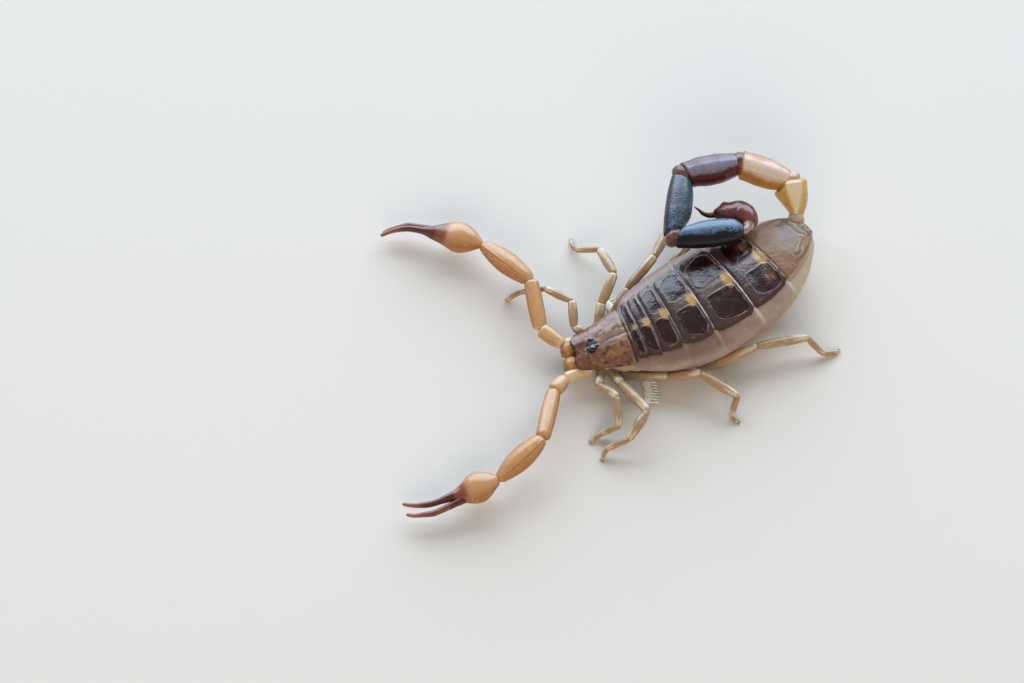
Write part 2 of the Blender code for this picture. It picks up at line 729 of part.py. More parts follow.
def main():
    clear_scene()
    shield = material("glossy brown shield", (0.05, 0.022, 0.015), 0.22)
    plate = material("glossy dark plates", (0.022, 0.010, 0.010), 0.22)
    last_plate = material("translucent last plate", (0.16, 0.10, 0.075), 0.28)
    flesh = material("soft flank skin", (0.42, 0.29, 0.21), 0.40)
    pale = material("pale leg cuticle", (0.55, 0.42, 0.22), 0.35)
    amber = material("amber palp cuticle", (0.45, 0.18, 0.045), 0.28)
    finger = material("dark finger cuticle", (0.12, 0.030, 0.014), 0.28)
    eye = material("black eye", (0.004, 0.004, 0.006), 0.08)
    comb = material("whitish comb", (0.62, 0.60, 0.45), 0.45)
    tail = [
        material("yellow tail cuticle", (0.52, 0.30, 0.08), 0.28),
        material("amber tail cuticle", (0.42, 0.17, 0.05), 0.28),
        material("red brown tail cuticle", (0.07, 0.016, 0.010), 0.24),
        material("blue black tail cuticle four", (0.012, 0.014, 0.018), 0.26),
        material("blue black tail cuticle five", (0.012, 0.014, 0.018), 0.26),
        material("red brown bulb", (0.14, 0.030, 0.014), 0.24),
        material("dark sting", (0.06, 0.018, 0.012), 0.24),
    ]
    eye_places = make_eyes(eye)
    make_carapace(shield, eye_places)
    make_underside(pale)
    make_chelicerae(amber)
    make_abdomen(flesh)
    make_tergites({"plate": plate, "last_plate": last_plate})
    make_pectines(comb)
    make_legs(pale)
    make_palps(amber, finger)
    make_tail(tail)
    rest_on_origin()


main()
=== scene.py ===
# %% [markdown]
# # A small desert scorpion, life size
# The animal's hard parts are already packed as simple faceted solids, all in one frame: metres, +Z up,
# the floor at Z = 0, the head looking along -Y and the animal's left side at +X.
# This lesson grows the real surfaces over those solids. Each step measures a solid, lays an even grid of
# points over it, and then adds what the solid leaves out: keels, pits, folds, joints, colour and gloss.

import heapq
import math

import bmesh
import bpy
import numpy as np
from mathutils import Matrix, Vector
from mathutils.bvhtree import BVHTree


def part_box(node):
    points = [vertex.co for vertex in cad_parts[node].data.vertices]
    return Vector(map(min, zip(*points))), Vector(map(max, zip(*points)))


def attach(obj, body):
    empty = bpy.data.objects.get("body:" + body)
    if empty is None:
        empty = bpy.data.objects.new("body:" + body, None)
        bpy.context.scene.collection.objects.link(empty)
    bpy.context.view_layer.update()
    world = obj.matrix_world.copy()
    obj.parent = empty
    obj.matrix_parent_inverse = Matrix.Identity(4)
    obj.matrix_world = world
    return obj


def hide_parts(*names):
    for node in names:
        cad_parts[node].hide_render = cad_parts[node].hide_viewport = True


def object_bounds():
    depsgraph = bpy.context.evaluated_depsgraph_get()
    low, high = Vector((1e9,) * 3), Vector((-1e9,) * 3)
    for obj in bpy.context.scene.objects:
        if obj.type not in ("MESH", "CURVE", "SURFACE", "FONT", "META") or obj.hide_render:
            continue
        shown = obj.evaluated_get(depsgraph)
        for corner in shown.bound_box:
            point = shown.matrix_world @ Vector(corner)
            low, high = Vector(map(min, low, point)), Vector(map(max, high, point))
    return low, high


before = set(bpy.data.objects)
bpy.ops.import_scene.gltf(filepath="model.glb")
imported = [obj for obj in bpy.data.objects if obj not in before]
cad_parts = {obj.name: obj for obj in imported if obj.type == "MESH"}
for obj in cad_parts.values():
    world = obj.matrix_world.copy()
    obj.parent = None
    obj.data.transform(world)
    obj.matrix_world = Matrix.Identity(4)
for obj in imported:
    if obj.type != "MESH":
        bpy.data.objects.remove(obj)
cad_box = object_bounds()
MM = 0.001  # the script thinks in millimetres, and meshes are written in metres
print("frame loaded:", len(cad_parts), "solids")

# %% [markdown]
# ## Two helpers for every material
# Colours are written as sRGB hex, as a colour picker shows them, but the renderer counts light in linear
# values, so one function turns one into the other. The other function adds a node, with its own settings
# and with each socket either set to a value or linked to another node's output.

# %% Colour and node helpers
def colour(text):
    """An sRGB hex colour as the renderer's linear RGBA."""
    parts = [int(text[i : i + 2], 16) / 255 for i in (1, 3, 5)]
    return (*[c / 12.92 if c <= 0.04045 else ((c + 0.055) / 1.055) ** 2.4 for c in parts], 1.0)


def add(tree, kind, inputs=None, **settings):
    """Adds one node. inputs maps a socket's name or number to a value or to another node's output."""
    made = tree.nodes.new(kind)
    for name, value in settings.items():
        setattr(made, name, value)
    for key, value in (inputs or {}).items():
        if isinstance(value, bpy.types.NodeSocket):
            tree.links.new(value, made.inputs[key])
        else:
            made.inputs[key].default_value = value
    return made


A, B, RESULT = 6, 7, 2  # the colour sockets of a Mix node
print("a middle grey, #808080, is", round(colour("#808080")[0], 3), "in linear light")

# %% [markdown]
# ## Measuring a limb segment
# A limb segment is a tube, and its solid only has eight to sixteen sides. To lay a fine surface over it,
# the lesson needs the line down its middle and the distance from that line to its wall in every direction.
# For the middle line, every point of the solid is given the share of the way that it lies between the two
# ends, walking over the surface: the points with one share form a ring, and the ring's middle is on the
# line. Rays cast sideways then correct it. The distances are kept as a short sum of waves round the tube,
# which leaves the solid's facets behind.

# %% Search trees and walks over a solid
def solid_points(name):
    return np.array([vertex.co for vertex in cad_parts[name].data.vertices]) / MM


def corner_points(name):
    """Each corner of a solid once."""
    return np.unique(np.round(solid_points(name), 4), axis=0)


def merged_solid(*names):
    """The named solids as one merged mesh, in millimetres."""
    solid = bmesh.new()
    for name in names:
        solid.from_mesh(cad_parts[name].data)
    bmesh.ops.scale(solid, vec=(1 / MM, 1 / MM, 1 / MM), verts=solid.verts)
    bmesh.ops.remove_doubles(solid, verts=solid.verts, dist=1e-4)
    return solid


def search_tree(*names):
    solid = merged_solid(*names)
    tree = BVHTree.FromBMesh(solid)
    solid.free()
    return tree


def walk_from(solid, places, start, reach):
    """Every vertex's distance over the surface from the end of the solid that is within reach of a place."""
    near = np.linalg.norm(places - start, axis=1)
    far = np.where(near < near.min() + reach, 0.0, np.inf)
    queue = [(0.0, int(i)) for i in np.flatnonzero(far == 0)]
    while queue:
        distance, here = heapq.heappop(queue)
        if distance > far[here]:
            continue
        for edge in solid.verts[here].link_edges:
            there = edge.other_vert(solid.verts[here]).index
            longer = distance + edge.calc_length()
            if longer < far[there]:
                far[there] = longer
                heapq.heappush(queue, (longer, there))
    return far


def unit(vectors):
    return vectors / np.maximum(np.linalg.norm(vectors, axis=-1, keepdims=True), 1e-12)


def sideways_frames(path):
    """Along, left and up at each point of a path; left stays level."""
    along = unit(np.gradient(path, axis=0))
    left = unit(np.cross([0.0, 0.0, 1.0], along))
    return along, left, np.cross(along, left)


print("measuring helpers ready")

# %% Turns, spokes and easing
def full_turn(count):
    """Equal angles all the way round: 0 is up and a quarter turn is left."""
    return np.arange(count) * 2 * math.pi / count


def spokes(turns, left, up, flat=1.0):
    """The way outwards at each point of a path and each angle round it; flat squeezes the height."""
    return flat * np.cos(turns)[None, :, None] * up[:, None] + np.sin(turns)[None, :, None] * left[:, None]


def eased(values, times=1):
    """Values averaged with their neighbours along the first axis, a number of times. The ends stay."""
    values = values.copy()
    for _ in range(times):
        values[1:-1] = (values[:-2] + 2 * values[1:-1] + values[2:]) / 4
    return values


print("a spike of 1 eases to", eased(np.array([0.0, 0.0, 1.0, 0.0, 0.0]), 2))

# %% The middle line and the waves round it
RAYS = 24
WAVES = 3
RING_ANGLES = full_turn(RAYS)


def wall_distances(tree, place, left, up):
    """How far the wall is from a place, in each direction round it."""
    found = []
    for angle in RING_ANGLES:
        ray = Vector(up * math.cos(angle) + left * math.sin(angle))
        hit = tree.ray_cast(Vector(place), ray)[0]
        found.append(np.nan if hit is None else (hit - Vector(place)).length)
    found = np.array(found)
    return np.where(np.isnan(found), np.nanmedian(found), found)


def waves(turns):
    """The values of each wave at some angles: one column for each wave."""
    columns = [np.ones_like(turns)]
    for k in range(1, WAVES + 1):
        columns += [np.cos(k * turns), np.sin(k * turns)]
    return np.stack(columns, axis=-1)


def evenly(path, count):
    """The same line with a number of points at equal distances."""
    steps = np.linalg.norm(np.diff(path, axis=0), axis=1)
    at = np.concatenate([[0], np.cumsum(steps)])
    wanted = np.linspace(0, at[-1], count)
    return np.stack([np.interp(wanted, at, path[:, k]) for k in range(3)], axis=1)


def middle_line(name, start, end, stations, reach):
    """The line of ring middles of a bent solid, from end to end."""
    solid = merged_solid(name)
    for _ in range(2):
        long_edges = [edge for edge in solid.edges if edge.calc_length() > 0.35]
        bmesh.ops.subdivide_edges(solid, edges=long_edges, cuts=2, use_grid_fill=True)
    solid.verts.ensure_lookup_table()
    places = np.array([vertex.co for vertex in solid.verts])
    from_start = walk_from(solid, places, start, reach)
    from_end = walk_from(solid, places, end, reach)
    solid.free()
    share = from_start / (from_start + from_end)
    rings = []
    for level in np.linspace(0, 1, stations)[2:-2]:
        ring = places[np.abs(share - level) < 1.2 / stations]
        if len(ring) > 3:
            rings.append(ring.mean(axis=0))
    return evenly(np.vstack([start, rings, end]), stations)


def measure_tube(name, start, end, stations=21, bent=True, reach=0.45, end_skip=0.55):
    """A tube-shaped solid as its middle line and the waves of its wall round that line."""
    tree = search_tree(name)
    path = middle_line(name, start, end, stations, reach) if bent else np.linspace(start, end, stations)
    inner = slice(3, -3)
    for _ in range(4):
        _, left, up = sideways_frames(path)
        for i in range(stations)[inner]:
            out = wall_distances(tree, path[i], left[i], up[i])
            ways = np.cos(RING_ANGLES)[:, None] * up[i] + np.sin(RING_ANGLES)[:, None] * left[i]
            path[i] += (out[:, None] * ways).mean(axis=0)
        path = evenly(eased(path), stations)
    if not bent:
        core = path[inner]
        middle = core.mean(axis=0)
        axis = np.linalg.svd(core - middle)[2][0]
        axis *= np.sign(axis @ (end - start))
        first, last = (start - middle) @ axis, (end - middle) @ axis
        path = middle + np.linspace(first, last, stations)[:, None] * axis
    _, left, up = sideways_frames(path)
    length = np.linalg.norm(np.diff(path, axis=0), axis=1).sum()
    at = np.linspace(0, length, stations)
    skip = min(end_skip, 0.2 * length)
    inside = np.flatnonzero((at >= skip) & (at <= length - skip))
    walls = np.array([wall_distances(tree, path[i], left[i], up[i]) for i in inside])
    shape = np.linalg.lstsq(waves(RING_ANGLES), walls.T, rcond=None)[0].T
    shape = np.vstack([[shape[0]] * inside[0], shape, [shape[-1]] * (stations - 1 - inside[-1])])
    return {"path": path, "at": at, "length": length, "shape": eased(shape, 3)}


def curve_values(wanted, at, values):
    """A smooth curve through values given at even distances, which goes straight on beyond its ends."""
    slopes = np.gradient(values, at, axis=0)
    i = np.clip(np.searchsorted(at, wanted, side="right") - 1, 0, len(at) - 2)
    step = at[1] - at[0]
    h = np.clip((wanted - at[i]) / step, 0, 1)[:, None]
    inner = (
        values[i] * (2 * h**3 - 3 * h**2 + 1)
        + step * slopes[i] * (h**3 - 2 * h**2 + h)
        + values[i + 1] * (3 * h**2 - 2 * h**3)
        + step * slopes[i + 1] * (h**3 - h**2)
    )
    beyond = (wanted - np.clip(wanted, at[0], at[-1]))[:, None]
    return inner + beyond * slopes[i]


print("tubes are measured with", RAYS, "rays and", WAVES, "waves")

# %% [markdown]
# ## From grids of points to meshes
# Every surface here is a grid: rows along the piece and columns across or round it. One function turns a
# grid into a mesh with four-sided faces, closes a tube's ends, keeps a UV map that runs with the grid, and
# stores masks. A mask is one number for each point, such as how much of a keel or a pale line lies there.
# Masks follow the piece's own shape, so a material can read them and stay right from every side.

# %% Grid to mesh
def smoothstep(low, high, value):
    share = np.clip((value - low) / (high - low), 0, 1)
    return share * share * (3 - 2 * share)


def bell(value, width):
    return np.exp(-((value / width) ** 2))


def angle_from(turn, middle):
    """The angle from a middle direction, at most half a turn either way."""
    return np.angle(np.exp(1j * (turn - middle)))


def put_in_scene(name, data):
    made = bpy.data.objects.new(name, data)
    bpy.context.scene.collection.objects.link(made)
    return made


def grid_mesh(name, points, masks=None, material=None, round_tube=True, thickness=0.0):
    """A mesh from rows and columns of points in millimetres. A tube is closed round and at both ends; a
    sheet gets an under side, thickness below its upper one, and a rim that joins them."""
    rows, columns = points.shape[:2]
    spots = points.reshape(-1, 3)
    index = np.arange(rows * columns).reshape(rows, columns)
    masks = {key: np.broadcast_to(value, (rows, columns)).reshape(-1) for key, value in (masks or {}).items()}
    faces = []
    if round_tube:
        spots = np.vstack([spots, points[0].mean(axis=0), points[-1].mean(axis=0)])
        masks = {key: np.concatenate([value, value[:1], value[-1:]]) for key, value in masks.items()}
        after = np.roll(index, -1, axis=1)
        faces += np.stack([index[:-1], after[:-1], after[1:], index[1:]], axis=-1).reshape(-1, 4).tolist()
        start, end = rows * columns, rows * columns + 1
        faces += [(start, int(b), int(a)) for a, b in zip(index[0], after[0])]
        faces += [(end, int(a), int(b)) for a, b in zip(index[-1], after[-1])]
    else:
        top = np.stack([index[:-1, :-1], index[:-1, 1:], index[1:, 1:], index[1:, :-1]], axis=-1)
        top = top.reshape(-1, 4)
        faces += top.tolist()
        if thickness:
            across = np.gradient(points, axis=1)
            down = unit(np.cross(np.gradient(points, axis=0), across))
            down *= -np.sign(down[rows // 2, columns // 2, 2])
            spots = np.vstack([spots, (points + down * thickness).reshape(-1, 3)])
            masks = {key: np.concatenate([value, value]) for key, value in masks.items()}
            shift = rows * columns
            faces += (top[:, ::-1] + shift).tolist()
            rim = np.concatenate([index[0], index[1:, -1], index[-1, -2::-1], index[-2:0:-1, 0]])
            for a, b in zip(rim, np.roll(rim, -1)):
                faces.append((int(b), int(a), int(a) + shift, int(b) + shift))
    mesh = bpy.data.meshes.new(name)
    mesh.from_pydata((spots * MM).tolist(), [], faces)
    for key, value in masks.items():
        mesh.attributes.new(key, "FLOAT", "POINT").data.foreach_set("value", value.astype(np.float32))
    row_share = np.repeat(np.linspace(0, 1, rows), columns)
    column_share = np.tile(np.linspace(0, 1, columns, endpoint=not round_tube), rows)
    uv = np.stack([row_share, column_share], axis=1)
    extra = len(spots) - len(uv)
    uv = np.vstack([uv, uv[:extra] if extra == len(uv) else [[0, 0.5], [1, 0.5]][:extra]]) if extra else uv
    corner_vertices = np.empty(len(mesh.loops), dtype=np.int64)
    mesh.loops.foreach_get("vertex_index", corner_vertices)
    layer = mesh.uv_layers.new(name="Skin")
    layer.data.foreach_set("uv", uv[corner_vertices].astype(np.float32).reshape(-1))
    work = bmesh.new()
    work.from_mesh(mesh)
    bmesh.ops.recalc_face_normals(work, faces=work.faces)
    if (round_tube or thickness) and work.calc_volume(signed=True) < 0:
        bmesh.ops.reverse_faces(work, faces=work.faces)
    work.to_mesh(mesh)
    work.free()
    mesh.shade_smooth()
    if material:
        mesh.materials.append(material)
    return put_in_scene(name, mesh)


def settle(piece, slot, *nodes):
    """Ties a finished piece to the animal: it rides on the one body and stands for the named solids."""
    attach(piece, "root")
    if nodes:
        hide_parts(*nodes)
    return piece


def report(piece):
    print(piece.name, "has", len(piece.data.polygons), "faces")


print("grid helpers ready")

# %% [markdown]
# ## Cuticle as layers of paint
# A scorpion's shell is cuticle: thin, clear, hard layers over pigment, a little like amber or fingernail.
# Light goes a short way in, which is why pale parts glow at their edges, and the waxy outer skin gives
# broad soft reflections. Its index of refraction is about 1.56. All of its finishes are built the same way:
# a ground colour, then one layer of colour for each mask, each with a slightly ragged border, then mottling,
# and a fine pebbled relief. Sizes are in millimetres and are turned to the scale of the noise in one place.

# %% One recipe for every cuticle finish
CUTICLE_IOR = 1.56


def per_mm(size):
    """The scale of a noise whose blotches are about this many millimetres across."""
    return 1 / (size * MM)


def cuticle(name, ground, layers=(), mottle=(), roughness=(0.28, 0.42), glow=0.15, glow_tint="#c98a5a",
            pebbles=(0.05, 0.25), ragged=0.35):
    """A cuticle finish. layers: (mask, colour, strength). mottle: (colour, size in mm, low, high).
    pebbles: (radius in mm, strength)."""
    finish = bpy.data.materials.new(name)
    finish.use_nodes = True
    tree = finish.node_tree
    tree.nodes.clear()
    place = add(tree, "ShaderNodeTexCoord").outputs["Object"]
    rag = add(tree, "ShaderNodeTexNoise", {"Vector": place, "Scale": per_mm(0.32), "Detail": 5.0,
              "Roughness": 0.62})
    shake = add(tree, "ShaderNodeMath", {0: rag.outputs["Fac"], 1: ragged, 2: -0.5 * ragged},
                operation="MULTIPLY_ADD")
    surface = colour(ground)
    for tint, size, low, high in mottle:
        blot = add(tree, "ShaderNodeTexNoise", {"Vector": place, "Scale": per_mm(size), "Detail": 4.0})
        share = add(tree, "ShaderNodeMapRange", {"Value": blot.outputs["Fac"], "From Min": low,
                    "From Max": high}, interpolation_type="SMOOTHSTEP")
        surface = add(tree, "ShaderNodeMix", {"Factor": share.outputs["Result"], A: surface, B: colour(tint)},
                      data_type="RGBA").outputs[RESULT]
    for mask, tint, strength in layers:
        amount = add(tree, "ShaderNodeAttribute", attribute_name=mask).outputs["Fac"]
        edge = add(tree, "ShaderNodeMath", {0: amount, 1: shake.outputs[0]}, operation="ADD")
        share = add(tree, "ShaderNodeMapRange", {"Value": edge.outputs[0], "From Min": 0.22, "From Max": 0.78,
                    "To Max": strength}, interpolation_type="SMOOTHSTEP")
        surface = add(tree, "ShaderNodeMix", {"Factor": share.outputs["Result"], A: surface, B: colour(tint)},
                      data_type="RGBA").outputs[RESULT]
    wear = add(tree, "ShaderNodeTexNoise", {"Vector": place, "Scale": per_mm(0.9), "Detail": 3.0})
    matt = add(tree, "ShaderNodeMapRange", {"Value": wear.outputs["Fac"], "From Min": 0.35, "From Max": 0.65,
               "To Min": roughness[0], "To Max": roughness[1]})
    radius, height = pebbles
    grains = add(tree, "ShaderNodeTexVoronoi", {"Vector": place, "Scale": per_mm(2 * radius)},
                 feature="SMOOTH_F1")
    relief = add(tree, "ShaderNodeBump", {"Height": grains.outputs["Distance"], "Strength": height,
                 "Distance": 0.02 * MM})
    shell = add(tree, "ShaderNodeBsdfPrincipled", {"Base Color": surface, "Roughness": matt.outputs["Result"],
                "IOR": CUTICLE_IOR, "Normal": relief.outputs["Normal"], "Subsurface Weight": glow,
                "Subsurface Radius": colour(glow_tint)[:3], "Subsurface Scale": 0.35 * MM})
    add(tree, "ShaderNodeOutputMaterial", {"Surface": shell.outputs["BSDF"]})
    return finish


print("cuticle recipe ready, index of refraction", CUTICLE_IOR)

# %% [markdown]
# ## The limbs and the tail as tubes
# Legs, feelers and tail are chains of segments, and the end faces of neighbours almost touch at each joint.
# The middle of the points of one solid that face the next therefore gives the joint's place. Each solid is
# measured from the joint that is nearer to the body.

# %% Joint places and measured tubes
SIDES = ("left", "right")
LEG_PAIRS = (1, 2, 3, 4)
LEG_PARTS = ("thigh", "shin", "foot")
PALP_PARTS = ("base", "ring", "arm", "forearm", "hand")


def joint_place(first, second):
    """The middle of the two end faces that meet at a joint."""
    middles = []
    for one, other in ((first, second), (second, first)):
        tree = search_tree(other)
        spots = corner_points(one)
        apart = np.array([tree.find_nearest(Vector(spot))[3] for spot in spots])
        middles.append(spots[apart < apart.min() + 0.1].mean(axis=0))
    return (middles[0] + middles[1]) / 2


def free_end(name, place, reach=0.3):
    """The middle of the end face that is farthest from a place."""
    spots = corner_points(name)
    apart = np.linalg.norm(spots - place, axis=1)
    return spots[apart > apart.max() - reach].mean(axis=0)


tubes = {}
for side in SIDES:
    for pair in LEG_PAIRS:
        thigh, shin, foot = [f"leg_{side}_{pair}_{part}" for part in LEG_PARTS]
        knee, ankle = joint_place(thigh, shin), joint_place(shin, foot)
        tubes[thigh] = measure_tube(thigh, free_end(thigh, knee), knee)
        tubes[shin] = measure_tube(shin, knee, ankle, bent=False)
        tubes[foot] = measure_tube(foot, ankle, free_end(foot, ankle, 0.2))
    names = [f"palp_{side}_{part}" for part in PALP_PARTS]
    joints = [joint_place(a, b) for a, b in zip(names, names[1:])]
    ends = [free_end(names[0], joints[0]), *joints]
    for name, start, end in zip(names, ends, ends[1:]):
        tubes[name] = measure_tube(name, start, end, bent=False, stations=15)
    palm, finger = names[4], f"palp_{side}_finger_moving"
    finger_tip = free_end(finger, joint_place(palm, finger))
    tubes[finger] = measure_tube(finger, free_end(finger, finger_tip), finger_tip)
tail = [f"tail_{i}" for i in range(1, 6)] + ["sting_bulb", "sting_point"]
tail_ends = [joint_place(a, b) for a, b in zip(["tergite_7", *tail], tail)]
tail_ends.append(free_end("sting_point", tail_ends[-1], 0.15))
tail_starts = list(tail_ends[:-1])
tail_ends = tail_ends[1:]
tail_ends[4] = free_end("tail_5", tail_starts[4])
tail_starts[5] = free_end("sting_bulb", tail_starts[6])
for name, start, end in zip(tail, tail_starts, tail_ends):
    tubes[name] = measure_tube(name, start, end, bent=name == "sting_point", reach=0.3)
print("tubes measured:", len(tubes))
print("tail segment lengths in mm:", [round(float(tubes[name]["length"]), 2) for name in tail])

# %% [markdown]
# ## The trunk's own directions
# The trunk bends gently to one side, so the plates lie along a circle seen from above. Three numbers place
# anything on it: the way back from the head's front edge along that circle, the way out to the animal's
# left, and the height. A least-squares circle through the middles of the plates gives the bend.

# %% A circle through the middles of the plates
TERGITES = [f"tergite_{i}" for i in range(1, 8)]
PLATES = ["carapace", *TERGITES]


def plan_middle(name):
    spots = np.unique(np.round(solid_points(name)[:, :2], 3), axis=0)
    return spots.mean(axis=0)


middles = np.array([plan_middle(name) for name in PLATES])
for _ in range(3):
    rows = np.hstack([2 * middles, np.ones((len(middles), 1))])
    found = np.linalg.lstsq(rows, (middles**2).sum(axis=1), rcond=None)[0]
    bend_centre = found[:2]
    bend_radius = math.sqrt(found[2] + bend_centre @ bend_centre)
    for i, name in enumerate(PLATES):
        offset = solid_points(name)[:, :2] - bend_centre
        radii = np.linalg.norm(offset, axis=1)
        outward = unit(middles[i] - bend_centre)
        middles[i] = bend_centre + outward * (radii.min() + radii.max()) / 2
print("the trunk bends round a circle of radius", round(bend_radius, 1), "mm")


def turn_of(spots):
    return np.arctan2(spots[..., 1] - bend_centre[1], spots[..., 0] - bend_centre[0])


front_turn = turn_of(solid_points("carapace")).min()


def to_trunk(spots):
    """The way back, the way left and the height of some points."""
    out = np.linalg.norm(spots[..., :2] - bend_centre, axis=-1) - bend_radius
    return np.stack([(turn_of(spots) - front_turn) * bend_radius, out, spots[..., 2]], axis=-1)


def from_trunk(back, left, height):
    """The points at a way back, a way left and a height."""
    turn = front_turn + np.asarray(back) / bend_radius
    out = bend_radius + np.asarray(left)
    x = bend_centre[0] + out * np.cos(turn)
    y = bend_centre[1] + out * np.sin(turn)
    return np.stack(np.broadcast_arrays(x, y, height), axis=-1)


# %% [markdown]
# ## Measuring a back plate
# A back plate is a curved cap. Rays from far outside towards a point low inside the trunk land on its outer
# face. Low powers of the way back and the way across, fitted to those hits, give one smooth surface that
# has no facets and that can be asked for a point anywhere on the plate.

# %% Plates as smooth surfaces
FAR_OUT = 14.0
SCAN_ROWS, SCAN_COLUMNS = 14, 41  # rays along a plate and across it
POWERS_ACROSS = 8


def inward_hit(tree, back, low, angle):
    """How far from a low point the outermost hit lies, in a direction across the trunk: 0 is straight up."""
    direction = from_trunk(back, math.sin(angle), low + math.cos(angle)) - from_trunk(back, 0, low)
    origin = from_trunk(back, 0, low)
    hit = tree.ray_cast(Vector(origin + FAR_OUT * direction), Vector(-direction), FAR_OUT)[0]
    return None if hit is None else float((np.array(hit) - origin) @ direction)


def powers(u, v, top_u, top_v):
    return np.stack([u**i * v**j for i in range(top_u + 1) for j in range(top_v + 1)], axis=-1)


def measure_plate(name, low=-1.0, powers_along=3):
    tree = search_tree(name)
    backs = to_trunk(solid_points(name))[:, 0]
    start, end = backs.min(), backs.max()
    scan = np.radians(np.arange(-86, 86.1, 1.0))
    edges, at, hits = [], [], []
    for u in np.linspace(0.03, 0.97, SCAN_ROWS):
        back = start + u * (end - start)
        landed = [angle for angle in scan if inward_hit(tree, back, low, angle) is not None]
        edge = (min(landed), max(landed))
        edges.append([u, *edge])
        for v in np.linspace(-1, 1, SCAN_COLUMNS):
            angle = (edge[0] + edge[1]) / 2 + v * (edge[1] - edge[0]) / 2
            radius = inward_hit(tree, back, low, angle)
            if radius is not None:
                at.append([u, v])
                hits.append(radius)
    edges, at, hits = np.array(edges), np.array(at), np.array(hits)
    edge_fit = [np.polyfit(edges[:, 0], edges[:, k], powers_along + 1) for k in (1, 2)]
    terms = powers(at[:, 0], at[:, 1], powers_along, POWERS_ACROSS)
    fit = np.linalg.lstsq(terms, hits, rcond=None)[0]
    error = np.abs(terms @ fit - hits).max()
    return {"start": start, "end": end, "low": low, "edges": edge_fit, "fit": fit,
            "powers": (powers_along, POWERS_ACROSS), "error": error}


def plate_points(plate, u, v, lift=0.0):
    """Points of a plate: u runs from its front to its rear, v from its right edge to its left one."""
    inside = np.clip(u, 0.03, 0.97)
    low_edge, high_edge = (np.polyval(fit, inside) for fit in plate["edges"])
    angle = (low_edge + high_edge) / 2 + v * (high_edge - low_edge) / 2
    radius = powers(inside, np.clip(v, -1, 1), *plate["powers"]) @ plate["fit"] + lift
    back = plate["start"] + u * (plate["end"] - plate["start"])
    return from_trunk(back, radius * np.sin(angle), plate["low"] + radius * np.cos(angle))


plates = {name: measure_plate(name) for name in TERGITES}
plates["carapace"] = measure_plate("carapace", low=1.0, powers_along=5)
for name in PLATES:
    print(name, "from", round(plates[name]["start"], 2), "to", round(plates[name]["end"], 2),
          "mm back, fitted within", round(plates[name]["error"], 3), "mm")

# %% [markdown]
# ## Dots and ripples
# Two small patterns come back on many pieces. Dots are pits or grains on a jittered lattice, and ripples
# are a smooth random unevenness, which breaks up reflections the way real cuticle does. Both are numbers
# on the grid itself, so they shape the mesh and colour it with the same values.

# %% Dots and ripples
DOT_CELLS = (97, 89)  # cells before the pattern of dots repeats
RIPPLE_CELLS = (61, 67)


def dots(u, v, size, seed):
    """Little round dots on a jittered lattice, as a mask, for positions u and v in millimetres."""
    dice = np.random.default_rng(seed)
    jitter = dice.uniform(-0.32, 0.32, (*DOT_CELLS, 2))
    strength = dice.uniform(0.1, 1, DOT_CELLS)
    u, v = np.broadcast_arrays(u, v)
    best = np.zeros(u.shape)
    cell_u, cell_v = np.floor(u / size).astype(int), np.floor(v / size).astype(int)
    for du in (-1, 0, 1):
        for dv in (-1, 0, 1):
            i, j = (cell_u + du) % DOT_CELLS[0], (cell_v + dv) % DOT_CELLS[1]
            shift = jitter[i, j]
            gap_u = u / size - (cell_u + du + 0.5 + shift[..., 0])
            gap_v = v / size - (cell_v + dv + 0.5 + shift[..., 1])
            best = np.maximum(best, bell(np.hypot(gap_u, gap_v), 0.34) * strength[i, j])
    return best


def ripples(u, v, size, seed):
    """A smooth random unevenness between -1 and 1 with bumps about size millimetres across."""
    lattice = np.random.default_rng(seed).uniform(-1, 1, RIPPLE_CELLS)
    u, v = np.broadcast_arrays(u / size, v / size)
    i, j = np.floor(u).astype(int), np.floor(v).astype(int)
    a, b = smoothstep(0, 1, u - i), smoothstep(0, 1, v - j)
    rows, columns = RIPPLE_CELLS
    corner = [lattice[(i + di) % rows, (j + dj) % columns] for di in (0, 1) for dj in (0, 1)]
    return (corner[0] * (1 - b) + corner[1] * b) * (1 - a) + (corner[2] * (1 - b) + corner[3] * b) * a


print("dots and ripples repeat only after", DOT_CELLS, "and", RIPPLE_CELLS, "cells")

# %% [markdown]
# ## Back plates of the middle body
# Seven plates cover the back. Each slides over the next like a roof tile, so it starts sunk under the plate
# in front and ends in a raised lip. On each side lies a dark chestnut field with rounded corners and a fine
# pale line round it. The middle stays paler and ends in a golden spot. The plates are grids over the
# measured caps, and the numbers that raise a line or a lip also become the masks for the colours.

# %% The finish of the back plates
back_shell = cuticle(
    "glossy_chestnut_cuticle",  # dark pigment under a clear waxy shell: deep colour with broad soft shine
    "#42302b",
    layers=(
        ("middle", "#5c4c44", 0.85),
        ("front_band", "#3f302d", 0.8),
        ("field", "#270c08", 0.97),
        ("tan", "#6e4028", 0.7),
        ("lobe", "#432820", 0.85),
        ("frame", "#9f8d89", 0.55),
        ("gold", "#b8925a", 0.85),
        # rim: the pale rear lip of each plate, with a painted highlight on it
        ("rim", "#cfbab2", 0.8),
        ("stipple", "#1d0f0e", 0.75),
        ("glint", "#837c90", 0.6),
    ),
    mottle=(("#6b5148", 0.6, 0.5, 0.68), ("#3a2420", 0.35, 0.56, 0.72)),
    roughness=(0.2, 0.3),
    glow=0.08,
    ragged=0.3,
)
print("plate finish made:", back_shell.name)

